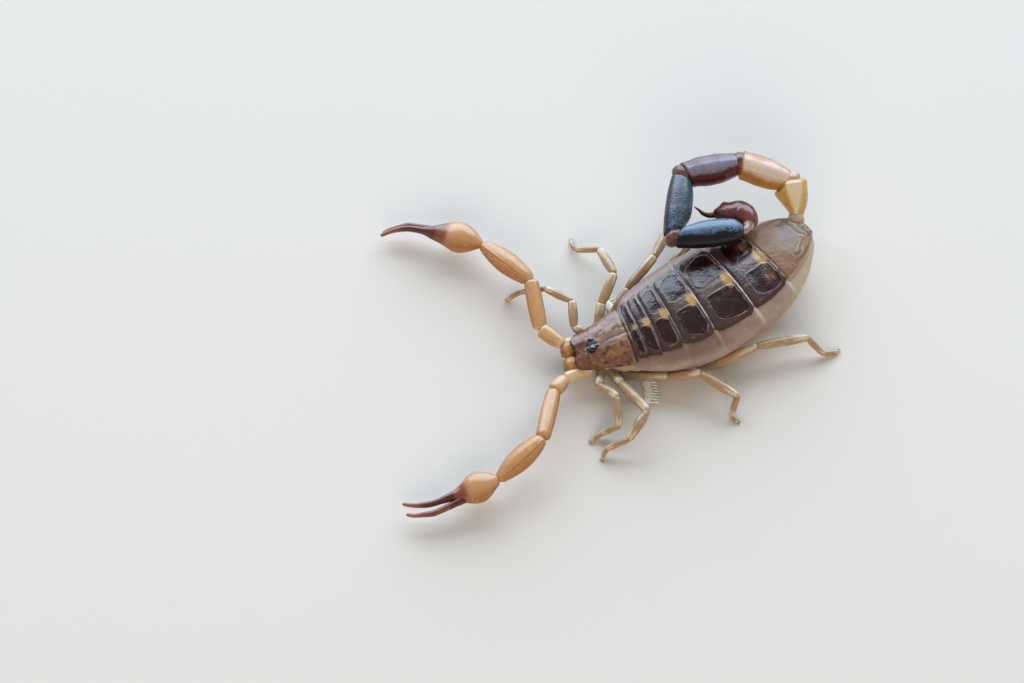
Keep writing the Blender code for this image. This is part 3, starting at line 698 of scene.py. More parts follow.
# %% Six overlapping plates
PLATE_STEP = 0.05
LIP_REACH = 0.16  # how far a lip reaches over the next plate
HALF_WIDTHS = (3.2, 3.7, 4.2, 4.7, 4.9, 4.8)
FIELD_INNER = (0.24, 0.3, 0.4, 0.56, 0.74, 0.9)  # the dark fields keep this far from the middle
FIELD_FRONT = (0.14, 0.2, 0.34, 0.5, 0.75, 0.95)  # and this far from the plate's front edge
GOLD_SIZE = (0.26, 0.36, 0.48, 0.62, 0.74, 0.88)
# how strong each plate's pale rear lip is: a pale margin and a painted highlight, strongest on the fourth and
# fifth plates
RIM_PALENESS_AND_HIGHLIGHT = (0.25, 0.3, 0.4, 0.8, 1.0, 0.5)


def rounded_box(x, y, low_x, high_x, low_y, high_y, corner):
    """The distance from a box with rounded corners: negative inside it."""
    out_x = np.maximum(low_x + corner - x, x - (high_x - corner))
    out_y = np.maximum(low_y + corner - y, y - (high_y - corner))
    outside = np.hypot(np.maximum(out_x, 0), np.maximum(out_y, 0))
    return outside + np.minimum(np.maximum(out_x, out_y), 0) - corner


def tergite_piece(name, number):
    plate = plates[name]
    length = plate["end"] - plate["start"]
    half = HALF_WIDTHS[number - 1]
    rows = max(24, int((length + LIP_REACH) / PLATE_STEP))
    u, v = np.meshgrid(np.linspace(-0.1 / length, 1 + LIP_REACH / length, rows), np.linspace(-1, 1, 190),
                       indexing="ij")
    side = np.abs(v)
    across, from_front = side * half, u * length
    from_rear = length + LIP_REACH - from_front
    corner = 0.14 * min(length, 3) * smoothstep(0.8, 1.0, side) ** 2
    back = from_front - corner * (u - 0.5) * 2
    waver = ripples(from_front, v * half, 0.6, 20 + number) * (0.4 if number < 4 else 1.0)
    fine = ripples(from_front, v * half, 0.22, 30 + number)
    rear_edge = length - (0.22 if length > 1.5 else 0.12)
    spread = across * (1.12 - 0.12 * smoothstep(0.2, 0.8, u))  # the fields widen to the rear
    inner, front = FIELD_INNER[number - 1], FIELD_FRONT[number - 1]
    field = rounded_box(spread + 0.07 * waver, from_front + 0.06 * waver + 0.04 * fine, inner, half * 0.88,
                        front, rear_edge, min(0.75, 0.34 * length))
    frame_line = bell(field - 0.02, 0.075)
    lift = -0.13 * (1 - smoothstep(0, 0.45, from_front)) + 0.06 * smoothstep(0.6, 0.2, from_rear)
    lift = lift - 0.10 * smoothstep(0.12, 0.0, from_rear) ** 2 - 0.2 * smoothstep(0.95, 1.0, side) ** 2
    lift += 0.03 * frame_line - 0.03 * smoothstep(0.0, -0.5, field)
    lift += 0.018 * waver * smoothstep(0.2, -0.2, field) + 0.009 * fine
    lift += 0.03 * bell(across, 0.4) * smoothstep(0.2, 0.7, u)
    speckle = dots(back, v * half, 0.15, 40 + number)
    lift -= 0.012 * speckle * smoothstep(0.3, -0.1, field)
    gold = GOLD_SIZE[number - 1]
    before_rear = from_rear - 0.3 - 0.3 * gold + 0.1 * fine
    spot = np.hypot((across + 0.08 * waver) / (1.12 * gold), before_rear / (0.1 + 0.38 * gold))
    spot = spot + 0.1 * ripples(from_front, v * half, 0.2, 90 + number)
    bright = RIM_PALENESS_AND_HIGHLIGHT[number - 1]
    glints = dots(back, v * half, 0.24, 50 + number)
    masks = {
        "field": smoothstep(0.05, -0.08, field),
        "middle": smoothstep(1.25, 0.85, across / inner) * smoothstep(0.1, 0.4, u),
        "front_band": smoothstep(1.2, 0.7, from_front / front) * (0.7 + 0.4 * waver),
        "lobe": smoothstep(0.86, 0.93, side),
        "frame": frame_line * smoothstep(0.1, 0.5, u) * (0.6 + 0.4 * waver),
        "gold": smoothstep(2.5, 0.0, spot) * (0.6 if number == 1 else 1.0),
        "tan": 0.9 * bell((across - 2.6) / 1.1, 0.8) * bell((from_front - 3.0) / 0.9, 0.8) * (number == 6),
        # the pale rear lip: a pale margin with a painted highlight
        "rim": bright * smoothstep(0.2, 0.1, from_rear) * smoothstep(1.0, 0.8, side) * (0.8 + 0.4 * waver),
        "stipple": speckle * (bell(field + 0.12, 0.22) + 0.25 * smoothstep(0, -0.3, field)),
        "glint": glints * bell(field + 0.2, 0.28) * smoothstep(-0.5, 0.4, waver),
    }
    points = plate_points(plate, back / length, v, lift)
    piece = grid_mesh(f"back_plate_{number}", points, masks, back_shell, round_tube=False, thickness=0.14)
    return settle(piece, "plates", name)


for i, name in enumerate(TERGITES[:6]):
    report(tergite_piece(name, i + 1))

# %% [markdown]
# ## The last back plate
# The seventh plate narrows to the tail. It is thinner and clearer than the others: tan with an olive front
# corner, and wrinkled at its rear and sides in folds that follow its outline. A pinkish-grey painted sheen
# lies in its middle, and its folds carry painted highlights on their ridges and painted shade in their
# creases.

# %% Last back plate
last_shell = cuticle(
    "clear_wrinkled_cuticle",  # thin clear shell with little pigment; the pale ridges of its folds are painted highlights and its creases painted shade
    "#836949",
    layers=(
        # a painted pinkish-grey sheen lies in the middle of the plate
        ("lilac", "#85787c", 0.6),
        ("olive", "#7c5328", 0.92),
        ("fold", "#c0ae9e", 0.65),
        ("crease", "#4c3626", 0.75),
        ("edge", "#a8937a", 0.8),
        ("stipple", "#3c2e26", 0.7),
    ),
    mottle=(("#6f5a48", 0.6, 0.48, 0.66), ("#96836f", 0.4, 0.55, 0.72)),
    roughness=(0.44, 0.56),
    glow=0.25,
    glow_tint="#d09a70",
)


def last_plate_piece():
    plate = plates["tergite_7"]
    length = plate["end"] - plate["start"]
    u, v = np.meshgrid(np.linspace(-0.02, 0.99, 150), np.linspace(-1, 1, 190), indexing="ij")
    side, from_front = np.abs(v), u * length
    half = 4.6 - 2.6 * u
    across = side * half
    from_rear = 0.99 * length - from_front
    waver = ripples(from_front, v * 4, 0.9, 27)
    fine = ripples(from_front, v * 4, 0.3, 37)
    border = np.minimum(from_rear, (1 - side) * half) + 0.1 * waver
    border = border + 0.25 * waver + 0.1 * fine
    folds = sum(bell(border - at, 0.1) for at in (0.3, 0.95, 1.6))
    creases = sum(bell(border - at, 0.07) for at in (0.6, 1.25))
    rear_side = smoothstep(0.25, 0.6, u) * (0.65 + 0.35 * ripples(from_front, v * 4, 1.4, 57))
    lift = -0.1 * (1 - smoothstep(0, 0.4, from_front)) - 0.16 * smoothstep(0.94, 1.0, side) ** 2
    lift += rear_side * (0.045 * folds - 0.05 * creases) + 0.035 * waver + 0.014 * fine
    lift -= 0.1 * smoothstep(0.1, 0.0, from_rear) ** 2
    speckle = dots(from_front, v * 4, 0.18, 47)
    off_middle = 0.65 + 0.35 * smoothstep(0.3, 1.2, across)
    front_olive = smoothstep(3.0, 0.6, from_front + 0.5 * waver) * off_middle
    side_olive = 0.8 * smoothstep(1.7, 2.6, across + 0.4 * waver) * smoothstep(0.95, 0.8, side)
    masks = {
        # a painted sheen in the middle, painted highlights on the ridges of the folds and painted shade in
        # the creases
        "lilac": smoothstep(1.6, 0.5, np.hypot(across / 1.6, (from_front - 2.9) / 1.6)) * (0.7 + 0.4 * waver),
        "olive": np.maximum(front_olive, side_olive),
        "fold": folds * rear_side,
        "crease": creases * rear_side,
        "edge": smoothstep(0.86, 0.98, side),
        "stipple": speckle * smoothstep(0.9, 0.3, u),
    }
    points = plate_points(plate, u, v, lift)
    piece = grid_mesh("back_plate_7", points, masks, last_shell, round_tube=False, thickness=0.14)
    return settle(piece, "last_plate", "tergite_7")


report(last_plate_piece())

# %% [markdown]
# ## The head shield
# One plate covers the head and the bases of the legs. It narrows to the front, carries two glossy eyes on
# a low mound in the middle, and has a fine dark rim. A pale band runs back from the eyes.

# %% Head shield
shield_shell = cuticle(
    "mottled_head_cuticle",  # polished dark shell with tan islands: sharp highlights on a mottled ground
    "#704a37",
    layers=(
        ("tan", "#8e6644", 0.75),
        ("band", "#86705b", 0.8),
        ("centre", "#5f483c", 0.6),
        ("front", "#55301f", 0.75),
        ("pale", "#9a8c88", 0.5),
        ("dark", "#2a1512", 0.85),
        ("black", "#0c0a0b", 1.0),
        ("rim", "#24120e", 0.9),
    ),
    mottle=(("#8c603d", 0.45, 0.5, 0.66), ("#452a1e", 0.5, 0.53, 0.68)),
    roughness=(0.15, 0.26),
    glow=0.08,
    ragged=0.5,
)


def shield_piece():
    plate = plates["carapace"]
    length = plate["end"] - plate["start"]
    u, v = np.meshgrid(np.linspace(0.0, 1.02, 120), np.linspace(-1, 1, 200), indexing="ij")
    side = np.abs(v)
    back = u * length
    half = 1.95 + 1.2 * u
    across, left = side * half, v * half
    notch = 0.16 * bell(v, 0.25) * smoothstep(0.3, 0.0, u)
    notch = notch - 0.1 * bell(side - 0.62, 0.2) * smoothstep(0.2, 0.0, u)
    corner = 0.3 * smoothstep(0.75, 1.0, side) ** 2 * smoothstep(0.25, 0.0, u)
    from_rear = 1.02 * length - back
    edge = np.minimum(back, np.minimum(from_rear, (1 - side) * 2.2))
    waver = ripples(back, left, 0.7, 17)
    fine = ripples(back, left, 0.25, 18)
    lift = -0.14 * smoothstep(0.16, 0.0, edge) ** 2 + 0.05 * bell(edge - 0.18, 0.12)
    mound = np.hypot((back - 1.74) / 0.62, across / 0.86)
    lift += 0.12 * smoothstep(1.25, 0.5, mound)
    lift -= 0.05 * bell(across, 0.09) * smoothstep(1.3, 0.8, mound)
    lift -= 0.035 * bell(across, 0.22) * smoothstep(2.4, 3.2, back) * smoothstep(0.1, 0.5, from_rear)
    lift -= 0.06 * bell(across - 1.1 - 0.25 * (back - 3), 0.3) * bell(back - 3.7, 0.9)
    lift -= 0.05 * bell(from_rear - 0.5, 0.12) * smoothstep(0.3, 0.6, across)
    grains = dots(back, left, 0.14, 7)
    lift += 0.03 * waver + 0.012 * fine + 0.01 * grains * smoothstep(0.1, 0.4, edge)
    islands = smoothstep(-0.3, 0.6, waver + 0.4 * fine)
    band_edges = bell(across - 0.6 - 0.05 * waver, 0.09) * smoothstep(2.2, 2.9, back)
    band_edges = band_edges * smoothstep(0.4, 0.6, from_rear)
    rear_line = bell(from_rear - 0.5 + 0.04 * waver, 0.08) * smoothstep(0.55, 0.75, across)
    masks = {
        "band": smoothstep(0.62, 0.4, across + 0.1 * waver) * smoothstep(2.0, 2.5, back),
        "centre": bell(across, 0.14) * smoothstep(2.2, 2.8, back),
        "tan": islands * bell(across - 1.5, 0.9) * bell(back - 3.2, 1.9) * 0.8,
        "front": smoothstep(1.9, 0.9, back) * (0.6 + 0.4 * waver),
        "pale": (band_edges + rear_line) * (0.7 + 0.3 * waver),
        "dark": bell(from_rear - 0.3, 0.09),
        "black": smoothstep(0.98, 0.8, mound + 0.1 * fine) * smoothstep(0.05, 0.16, across),
        "rim": smoothstep(0.15, 0.05, edge),
    }
    points = plate_points(plate, (back + notch + corner) / length, v, lift)
    return grid_mesh("head_shield", points, masks, shield_shell, round_tube=False, thickness=0.14)


report(settle(shield_piece(), "shield", "carapace"))

# %% [markdown]
# ## The soft skin between the plates
# Between the back plates and the belly the body is only wrapped in soft, folded skin, which lets it swell
# after a meal. One closed surface makes the whole wrapping: rays from all round land on the flesh and the
# plates, and the surface is sunk a little wherever a plate covers it, so the plates lie on top. The same
# surface carries the belly's own plates, the breathing slits and the fused first leg segments.

# %% The finish of the soft skin
soft_skin = cuticle(
    "milky_folded_skin",  # thin unpigmented skin over pale flesh: dull and cloudy, with painted highlights along its folds and painted shade in its creases
    "#9c8478",
    layers=(
        ("dusk", "#6f5348", 0.75),
        ("cream", "#b8a68a", 0.8),
        # the pale folds are painted highlights; the creases are painted shade on the flank and the real dark
        # seams on the belly
        ("fold", "#cdc0b2", 0.75),
        ("lower", "#b8a586", 0.7),
        ("belly", "#c9b88e", 0.8),
        ("crease", "#6d5648", 0.6),
        ("slit", "#3a2a22", 0.9),
    ),
    mottle=(("#8f786d", 1.6, 0.46, 0.7), ("#a8927f", 1.1, 0.5, 0.75)),
    roughness=(0.3, 0.42),
    glow=0.3,
    glow_tint="#d8a080",
    pebbles=(0.045, 0.2),
    ragged=0.2,
)
print("soft skin made:", soft_skin.name)

# %% The wrapping measured from all round
FLESH = ("abdomen", "head_underside")
all_trunk = search_tree(*FLESH, *PLATES)
all_plates = search_tree(*PLATES)
skin_backs = np.linspace(to_trunk(solid_points("head_underside"))[:, 0].min() + 0.1,
                         to_trunk(solid_points("abdomen"))[:, 0].max() - 0.12, 90)
skin_turns = np.linspace(-math.pi, math.pi, 144, endpoint=False)
SUNK = 0.26  # how deep the skin lies under a plate's outer face
ABOVE, BELOW = 8.0, -3.0  # heights clear of the trunk, for rays down and up


def middle_height(back):
    """The height halfway between the top of the trunk and its under side."""
    top = BELOW + inward_hit(all_trunk, back, BELOW, 0.0)
    under = ABOVE - inward_hit(all_trunk, back, ABOVE, math.pi)
    return (top + under) / 2


def blurred(grid, along, around):
    """A grid averaged with its neighbours, a number of times in each direction."""
    for _ in range(around):
        grid = (np.roll(grid, 1, axis=1) + 2 * grid + np.roll(grid, -1, axis=1)) / 4
    return eased(grid, along)


heights = eased(np.array([middle_height(back) for back in skin_backs]), 6)
wrap, covered = np.zeros((2, len(skin_backs), len(skin_turns)))
for i, (back, height) in enumerate(zip(skin_backs, heights)):
    for j, turn in enumerate(skin_turns):
        outer = inward_hit(all_trunk, back, height, turn)
        plate_hit = inward_hit(all_plates, back, height, turn)
        wrap[i, j] = outer
        covered[i, j] = plate_hit is not None and plate_hit > outer - 0.08
covered = np.maximum(covered, np.maximum(np.roll(covered, 1, axis=1), np.roll(covered, -1, axis=1)))
covered[1:-1] = np.maximum(covered[1:-1], np.minimum(covered[:-2], covered[2:]))
wrap = blurred(wrap, 5, 6) - SUNK * blurred(covered, 2, 2)
print("skin measured with", wrap.size, "rays, from", round(wrap.min(), 2), "to", round(wrap.max(), 2), "mm")

# %% The wrapping as a fine surface
borders = [plates[name]["start"] for name in TERGITES] + [plates["tergite_7"]["end"]]
FOLD_STRENGTHS = (0.0, 0.35, 0.6, 0.8, 1.1, 1.1, 0.6)  # the folds deepen towards the rear
BELLY_BORDERS = (7.4, 9.9, 12.7, 15.8, 19.2, 22.6)
LEG_BASES = ((2.2, 2.0, 1.7), (3.1, 2.3, 2.6), (4.1, 2.7, 3.9), (5.1, 2.2, 5.3))  # hip back, left, inner end


def body_skin_piece():
    rows, columns = 300, 300
    share = np.linspace(0, 1, rows)
    back = skin_backs[0] + share * (skin_backs[-1] - skin_backs[0])
    turn = np.linspace(-math.pi, math.pi, columns, endpoint=False)
    cell = np.interp(turn, [*skin_turns, math.pi], np.arange(len(skin_turns) + 1))
    first = np.floor(cell).astype(int)
    left_column, right_column = (wrap[:, one % len(skin_turns)] for one in (first, first + 1))
    across = left_column + (right_column - left_column) * (cell - first)
    radius = np.stack([np.interp(back, skin_backs, across[:, k]) for k in range(columns)], axis=1)
    radius = blurred(radius, 6, 4)
    height = np.interp(back, skin_backs, heights)[:, None]
    cap = np.minimum(1.0, np.minimum(share / 0.02, (1 - share) / 0.032))
    radius = radius * np.sqrt(1 - (1 - cap) ** 2)[:, None].clip(0.05)
    back, turn = np.meshgrid(back, turn, indexing="ij")
    left, rise = radius * np.sin(turn), radius * np.cos(turn)
    flank = smoothstep(0.35, 0.7, np.abs(np.sin(turn))) * smoothstep(-0.98, -0.6, np.cos(turn))
    under = smoothstep(-0.45, -0.75, np.cos(turn))
    fold, crease = np.zeros((2, rows, columns))
    sway = ripples(back, turn * 3, 1.3, 51)
    high_up = smoothstep(-0.1, 0.45, np.cos(turn))
    for border, strength in zip(borders[1:], FOLD_STRENGTHS):
        lean = back - border - 0.5 * (0.5 - np.cos(turn)) - 0.2 * sway
        width = 0.3 + 0.3 * (1 - high_up)
        fold = np.maximum(fold, strength * bell(lean, width) * (0.3 + 0.7 * high_up))
        crease = np.maximum(crease, strength * bell(lean - 0.28, 0.09) * high_up)
    pleat = bell(np.cos(turn) - 0.12 - 0.05 * np.sin(back * 1.1), 0.07) * smoothstep(6.0, 9.0, back)
    seam, slit = np.zeros((2, rows, columns))
    for border in BELLY_BORDERS:
        seam = np.maximum(seam, bell(back - border - 0.05 * left**2, 0.1))
    for border in BELLY_BORDERS[1:-1]:
        reach = np.hypot((back - border + 1.1) / 0.16, (np.abs(left) - 2.6) / 0.45)
        slit = np.maximum(slit, smoothstep(1.2, 0.7, reach))
    lift = 0.09 * fold * flank - 0.04 * crease * flank - 0.04 * pleat * flank + 0.03 * sway * flank
    lift -= under * smoothstep(6.6, 7.4, back) * (0.06 * seam + 0.05 * slit)
    bases = np.zeros((rows, columns))
    for hip_back, hip_left, inner_back in LEG_BASES:
        slope = (hip_back - inner_back) / (hip_left - 0.25)
        middle = inner_back + slope * (np.abs(left) - 0.25)
        bases = np.maximum(bases, bell(back - middle, 0.3) * smoothstep(0.15, 0.35, np.abs(left)))
    lift += under * smoothstep(6.6, 5.8, back) * (0.16 * bases - 0.1)
    hips = bell(np.cos(turn) + 0.32, 0.3) * smoothstep(6.4, 5.0, back) * smoothstep(0.5, 1.5, back)
    lift += 0.5 * hips * (0.8 + 0.2 * bases)
    # the folds carry a painted highlight on the flank; the creases carry painted shade on the flank, and on
    # the belly the real dark seams between its plates
    masks = {
        "fold": 0.6 * fold * flank,
        "dusk": smoothstep(19, 9, back) * smoothstep(-0.2, 0.5, np.cos(turn)),
        "crease": np.maximum(crease * flank * 0.6, seam * under * smoothstep(7, 7.6, back) * 0.5),
        "cream": smoothstep(14.5, 25.0, back) * smoothstep(0.65, 0.2, np.cos(turn)),
        "lower": np.maximum(smoothstep(0.1, -0.35, np.cos(turn)), hips),
        "belly": under * (1 - 0.4 * bases),
        "slit": slit * under,
    }
    points = from_trunk(back, left + lift * np.sin(turn), height + rise + lift * np.cos(turn))
    points[..., 2] = np.maximum(points[..., 2], 0.02)
    return grid_mesh("body_skin", points, masks, soft_skin)


report(settle(body_skin_piece(), "flank_skin", "abdomen", "head_underside"))

# %% [markdown]
# ## Legs
# A scorpion has four pairs of walking legs, and each leg is a row of hollow tubes: a long thigh in two
# parts, a shin, a long toe segment, and a short foot with two claws. Each tube starts narrow, fits into a
# wider rim on the one before, and carries a low ridge along its top. The solids merge some of these, so a
# bent solid is cut at its bend, which is the point of its middle line that lies farthest from a straight one.

# %% Tube segments with a neck, a rim and rounded ends
def bend_place(tube):
    """The distance along a tube at which it bends."""
    chord = unit(tube["path"][-1] - tube["path"][0])
    away = tube["path"] - tube["path"][0]
    off = np.linalg.norm(away - (away @ chord)[:, None] * chord, axis=1)
    return float(tube["at"][np.argmax(off)])


def rows_along(length, caps, step):
    """Distances along a segment, closer together where its ends are rounded."""
    arc = 1 - np.cos(np.linspace(0.12, math.pi / 2, 10))
    straight = np.linspace(caps[0], length - caps[1], max(6, int((length - sum(caps)) / step)))
    return np.concatenate([caps[0] * arc[:-1], straight, (length - caps[1] * arc[::-1])[1:]])


MITRE_SHARE = 0.45  # the ends follow this share of a full slant, which keeps their corners round


def segment_points(tube, start, end, step=0.08, columns=40, caps=(0.3, 0.3), neck=(0.25, 0.6),
                   rim=(0.08, 0.35), relief=None, thin=1.0, mitres=(None, None)):
    """Points of a tube between two distances along it, with each point's distance and angle, and the length.
    A mitre is the normal of the slanting plane that an end is cut along."""
    length = end - start
    caps = [min(cap, 0.3 * length) for cap in caps]
    along = rows_along(length, caps, step)
    turns = full_turn(columns)
    at = start + along
    path = curve_values(at, tube["at"], tube["path"])
    _, left, up = sideways_frames(path)
    shape = curve_values(np.clip(at, 0, tube["length"]), tube["at"], tube["shape"])
    radius = thin * shape @ waves(turns).T
    from_end = length - along
    profile = 1 - neck[0] * bell(along, neck[1]) + rim[0] * bell(from_end - 0.12, rim[1])
    near_end = np.clip(np.minimum(along / caps[0], from_end / caps[1]), 0, 1)
    rounding = np.sqrt(1 - (1 - near_end) ** 2)
    s, turn = np.meshgrid(along, turns, indexing="ij")
    lift = relief(s, turn, length) if relief else 0.0
    radius = (radius * profile[:, None] + lift) * rounding[:, None]
    out = spokes(turns, left, up)
    slant = np.zeros(radius.shape)
    axis = unit(path[-1] - path[0])
    for normal, share in zip(mitres, (1 - s / length, s / length)):
        if normal is not None:
            slant -= MITRE_SHARE * share * (out @ normal) * radius / (axis @ normal)
    points = path[:, None] + out * radius[:, :, None] + axis * slant[..., None]
    points[..., 2] = np.maximum(points[..., 2], 0.0)
    return points, s, turn, length


def curved_tube(name, path, radii, columns, material, masks=None, flat=1.0, wrinkle=0.0):
    """A tube round any line; flat squeezes its height, and wrinkle roughens it."""
    path = np.asarray(path, dtype=float)
    _, left, up = sideways_frames(path)
    turns = full_turn(columns)
    radius = np.asarray(radii, dtype=float)[:, None] * np.ones(columns)
    if wrinkle:
        spot = np.linspace(0, 8, len(path))[:, None]
        radius = radius + wrinkle * ripples(spot, np.minimum(turns, 2 * math.pi - turns) * 3, 0.5, seed=1)
    points = path[:, None] + spokes(turns, left, up, flat) * radius[..., None]
    points[..., 2] = np.maximum(points[..., 2], 0.0)
    return grid_mesh(name, points, masks, material)


def joined(name, pieces):
    """Several loose pieces as one object."""
    work = bmesh.new()
    layers = sorted({layer.name for piece in pieces for layer in piece.data.attributes
                     if layer.data_type == "FLOAT" and layer.domain == "POINT"})
    for piece in pieces:
        for layer in layers:
            if layer not in piece.data.attributes:
                piece.data.attributes.new(layer, "FLOAT", "POINT")
        work.from_mesh(piece.data)
    mesh = bpy.data.meshes.new(name)
    work.to_mesh(mesh)
    work.free()
    mesh.shade_smooth()
    mesh.materials.append(pieces[0].data.materials[0])
    for piece in pieces:
        bpy.data.objects.remove(piece)
    return put_in_scene(name, mesh)


print("segment helpers ready")

# %% Leg finish
leg_shell = cuticle(
    "straw_coloured_thin_cuticle",  # thin pale tube walls: light passes through, so edges look richer; the pale stripe on top is a painted highlight and the darker amber underneath painted shade
    "#a28562",
    layers=(
        # the amber underside is painted shade, and the pale top a painted highlight
        ("amber", "#8c6a3c", 0.5),
        ("brown", "#715a46", 0.75),
        ("joint", "#765c38", 0.5),
        ("pale", "#d0c1a4", 0.8),
    ),
    mottle=(("#987e59", 1.2, 0.5, 0.75), ("#b29f7f", 0.9, 0.55, 0.8)),
    roughness=(0.2, 0.32),
    glow=0.5,
    glow_tint="#e0a860",
    pebbles=(0.04, 0.25),
)
claw_shell = cuticle(
    "dark_claw_cuticle",  # hardened tips: dark, with a small sharp shine
    "#5a3a22",
    mottle=(("#3c2416", 0.2, 0.45, 0.65),),
    roughness=(0.25, 0.35),
    glow=0.05,
)


def leg_relief(s, turn, length):
    ridge = bell(angle_from(turn, 0), 0.22) + bell(angle_from(turn, math.pi), 0.25)
    return 0.022 * ridge * smoothstep(0, 0.5, s) * smoothstep(0, 0.4, length - s)


def leg_segment(name, tube, start, end, brown=0.0, **shape):
    points, s, turn, length = segment_points(tube, start, end, relief=leg_relief, **shape)
    # amber: painted shade on the underside, and the real amber near each segment's end; pale: a painted
    # highlight along the top
    masks = {
        "amber": smoothstep(-0.2, -0.9, np.cos(turn)) * 0.8 + 0.25 * bell(length - s, 0.3),
        "joint": bell(length - s - 0.05, 0.1) * 0.8 + bell(s - 0.1, 0.12) * 0.5,
        "brown": brown * smoothstep(0.2, 0.9, 1 - s / length) + 0 * s,
        "pale": 0.9 * bell(np.cos(turn) - 0.8, 0.25) * smoothstep(0.4, 0.9, s / length) + 0 * s,
    }
    return grid_mesh(name, points, masks, leg_shell)


print("leg finish made:", leg_shell.name)

# %% Eight legs
def claw_pair(name, tube, material):
    """Two curved claws at the end of a foot."""
    tip, before = tube["path"][-1], tube["path"][-4]
    forward = unit((tip - before) * np.array([1, 1, 0.15]))
    sideways = unit(np.cross([0, 0, 1.0], forward))
    claws = []
    bow = np.linspace(0, 1, 9)
    for lean in (-1, 1):
        path = tip - 0.22 * forward + np.outer(0.42 * bow, forward)
        path = path + np.outer(0.13 * lean * np.sin(2.2 * bow), sideways)
        path[:, 2] += 0.1 * np.sin(bow * math.pi) - 0.02 * bow
        claws.append(curved_tube("claw", path, 0.075 * (1 - 0.8 * bow**1.5), 10, material))
    return joined(name, claws)


for side in SIDES:
    for pair in LEG_PAIRS:
        leg = f"leg_{side}_{pair}"
        thigh, shin, foot = [tubes[f"{leg}_{part}"] for part in LEG_PARTS]
        knee, toe = bend_place(thigh), bend_place(foot)
        brown = 0.75 if pair > 2 else 0.15
        upper = [
            leg_segment("upper", thigh, -0.7, knee + 0.12, brown, neck=(-0.45, 1.1), rim=(-0.03, 0.3),
                        thin=1.08),
            leg_segment("lower", thigh, knee - 0.16, thigh["length"] + 0.1, brown * 0.6, neck=(0.2, 0.7),
                        rim=(-0.05, 0.35), thin=1.1),
        ]
        settle(joined(f"{leg}_thigh_skin", upper), "legs", f"{leg}_thigh")
        settle(leg_segment(f"{leg}_shin_skin", shin, -0.1, shin["length"] + 0.06, neck=(0.24, 0.7),
                           rim=(-0.06, 0.35)), "legs", f"{leg}_shin")
        toes = [
            leg_segment("long", foot, -0.08, toe + 0.1, neck=(0.14, 0.4), rim=(0.0, 0.2), caps=(0.2, 0.2)),
            leg_segment("short", foot, toe - 0.1, foot["length"] - 0.02, neck=(0.2, 0.3), rim=(-0.15, 0.3),
                        caps=(0.2, 0.2)),
        ]
        settle(joined(f"{leg}_foot_skin", toes), "legs", f"{leg}_foot")
        settle(claw_pair(f"{leg}_claws", foot, claw_shell), "legs")
print("eight legs of five tubes each, with claws")

# %% [markdown]
# ## Feelers and pincers
# The two arms in front are feelers that end in slender pincers. They are amber, smooth and a little see
# through. Fine darker keels run along the forearm, and the fingers are long, thin and reddish brown with a
# row of tiny teeth where they meet.

# %% Feeler finishes
feeler_shell = cuticle(
    "amber_feeler_cuticle",  # clear honey-coloured shell: warm glow inside, and wide pale reflections on top painted in as a sheen
    "#a4692a",
    layers=(
        # pale is a painted sheen on top; rusty is the real darker end of a segment and painted shade
        # underneath
        ("pale", "#c59c70", 0.66),
        ("keel", "#8a5420", 0.6),
        ("rusty", "#8a5024", 0.7),
        ("white", "#d3bf9c", 0.7),
        ("dots", "#d0ab74", 0.7),
        ("hand", "#7a3f28", 0.9),
        ("finger", "#552a1e", 0.95),
        ("tip", "#8e5c44", 0.8),
    ),
    mottle=(("#985f24", 0.9, 0.48, 0.7), ("#b47e3e", 0.6, 0.55, 0.78)),
    roughness=(0.16, 0.27),
    glow=0.55,
    glow_tint="#e09040",
    pebbles=(0.04, 0.2),
)
finger_shell = cuticle(
    "rusty_finger_cuticle",  # thick hardened fingers: dark at the root where they grip, lighter at the tip
    "#744030",
    layers=(("dark", "#4c2218", 0.9), ("tip", "#9a6448", 0.8)),
    mottle=(("#84503a", 0.4, 0.5, 0.7),),
    roughness=(0.2, 0.32),
    glow=0.2,
    pebbles=(0.04, 0.25),
)


def keel_relief(angles, height, width):
    """A relief of low keels at some angles round a tube, in degrees."""
    def relief(s, turn, length):
        ridges = sum(bell(angle_from(turn, math.radians(angle)), width) for angle in angles)
        return height * ridges * smoothstep(0, 0.6, s) * smoothstep(0, 0.5, length - s)
    return relief


FEELER_KEEL = 0.035


def feeler_segment(name, tube, start, end, angles, painted_top_sheen, whiteness, **shape):
    relief = keel_relief(angles, FEELER_KEEL, 0.13)
    points, s, turn, length = segment_points(tube, start, end, relief=relief, step=0.07, columns=90, **shape)
    # pale: a painted sheen on top; rusty: the real darker joint end, and painted shade on the underside
    masks = {
        "pale": 1.25 * painted_top_sheen * smoothstep(-0.2, 0.95, np.cos(turn)) + 0 * s,
        "keel": 0.7 * relief(s, turn, length) / FEELER_KEEL,
        "rusty": 0.8 * bell((length - s) / 0.16, 0.8) + 0.3 * smoothstep(-0.3, -1, np.cos(turn)),
        "white": bell(s, 0.35) * 0.7 + whiteness,
        "dots": dots(s, turn * 0.7, 0.2, 8) * smoothstep(0, 0.5, np.cos(turn)),
    }
    return grid_mesh(name, points, masks, feeler_shell)


def finger_piece(name, tube, start, end, root):
    """A finger: it starts thick inside the palm, and thins to a rounded tip."""
    points, s, turn, length = segment_points(tube, start, end, step=0.06, columns=44, neck=(0.0, 1),
                                             rim=(0, 1), caps=(0.5, 0.3))
    share = s / length
    taper = 1 + root * smoothstep(1.7, 0.2, s) - 0.32 * smoothstep(0.55, 1.0, share)
    centre = points.mean(axis=1, keepdims=True)
    points = centre + (points - centre) * taper[..., None]
    grain = dots(s, turn * 0.3, 0.16, 5) * bell(np.cos(turn), 0.35)
    points = points + (points - centre) * (0.12 * grain)[..., None]
    masks = {"dark": smoothstep(3.2, 0.8, s), "tip": smoothstep(0.6, 1.0, share)}
    return grid_mesh(name, points, masks, finger_shell)


PALM_SHARE = 0.45  # the palm's part of the way from the wrist to the tip of the fixed finger
HAND_ROWS = 120
HAND_EASING = 60  # rounds of easing, until palm and finger run into each other


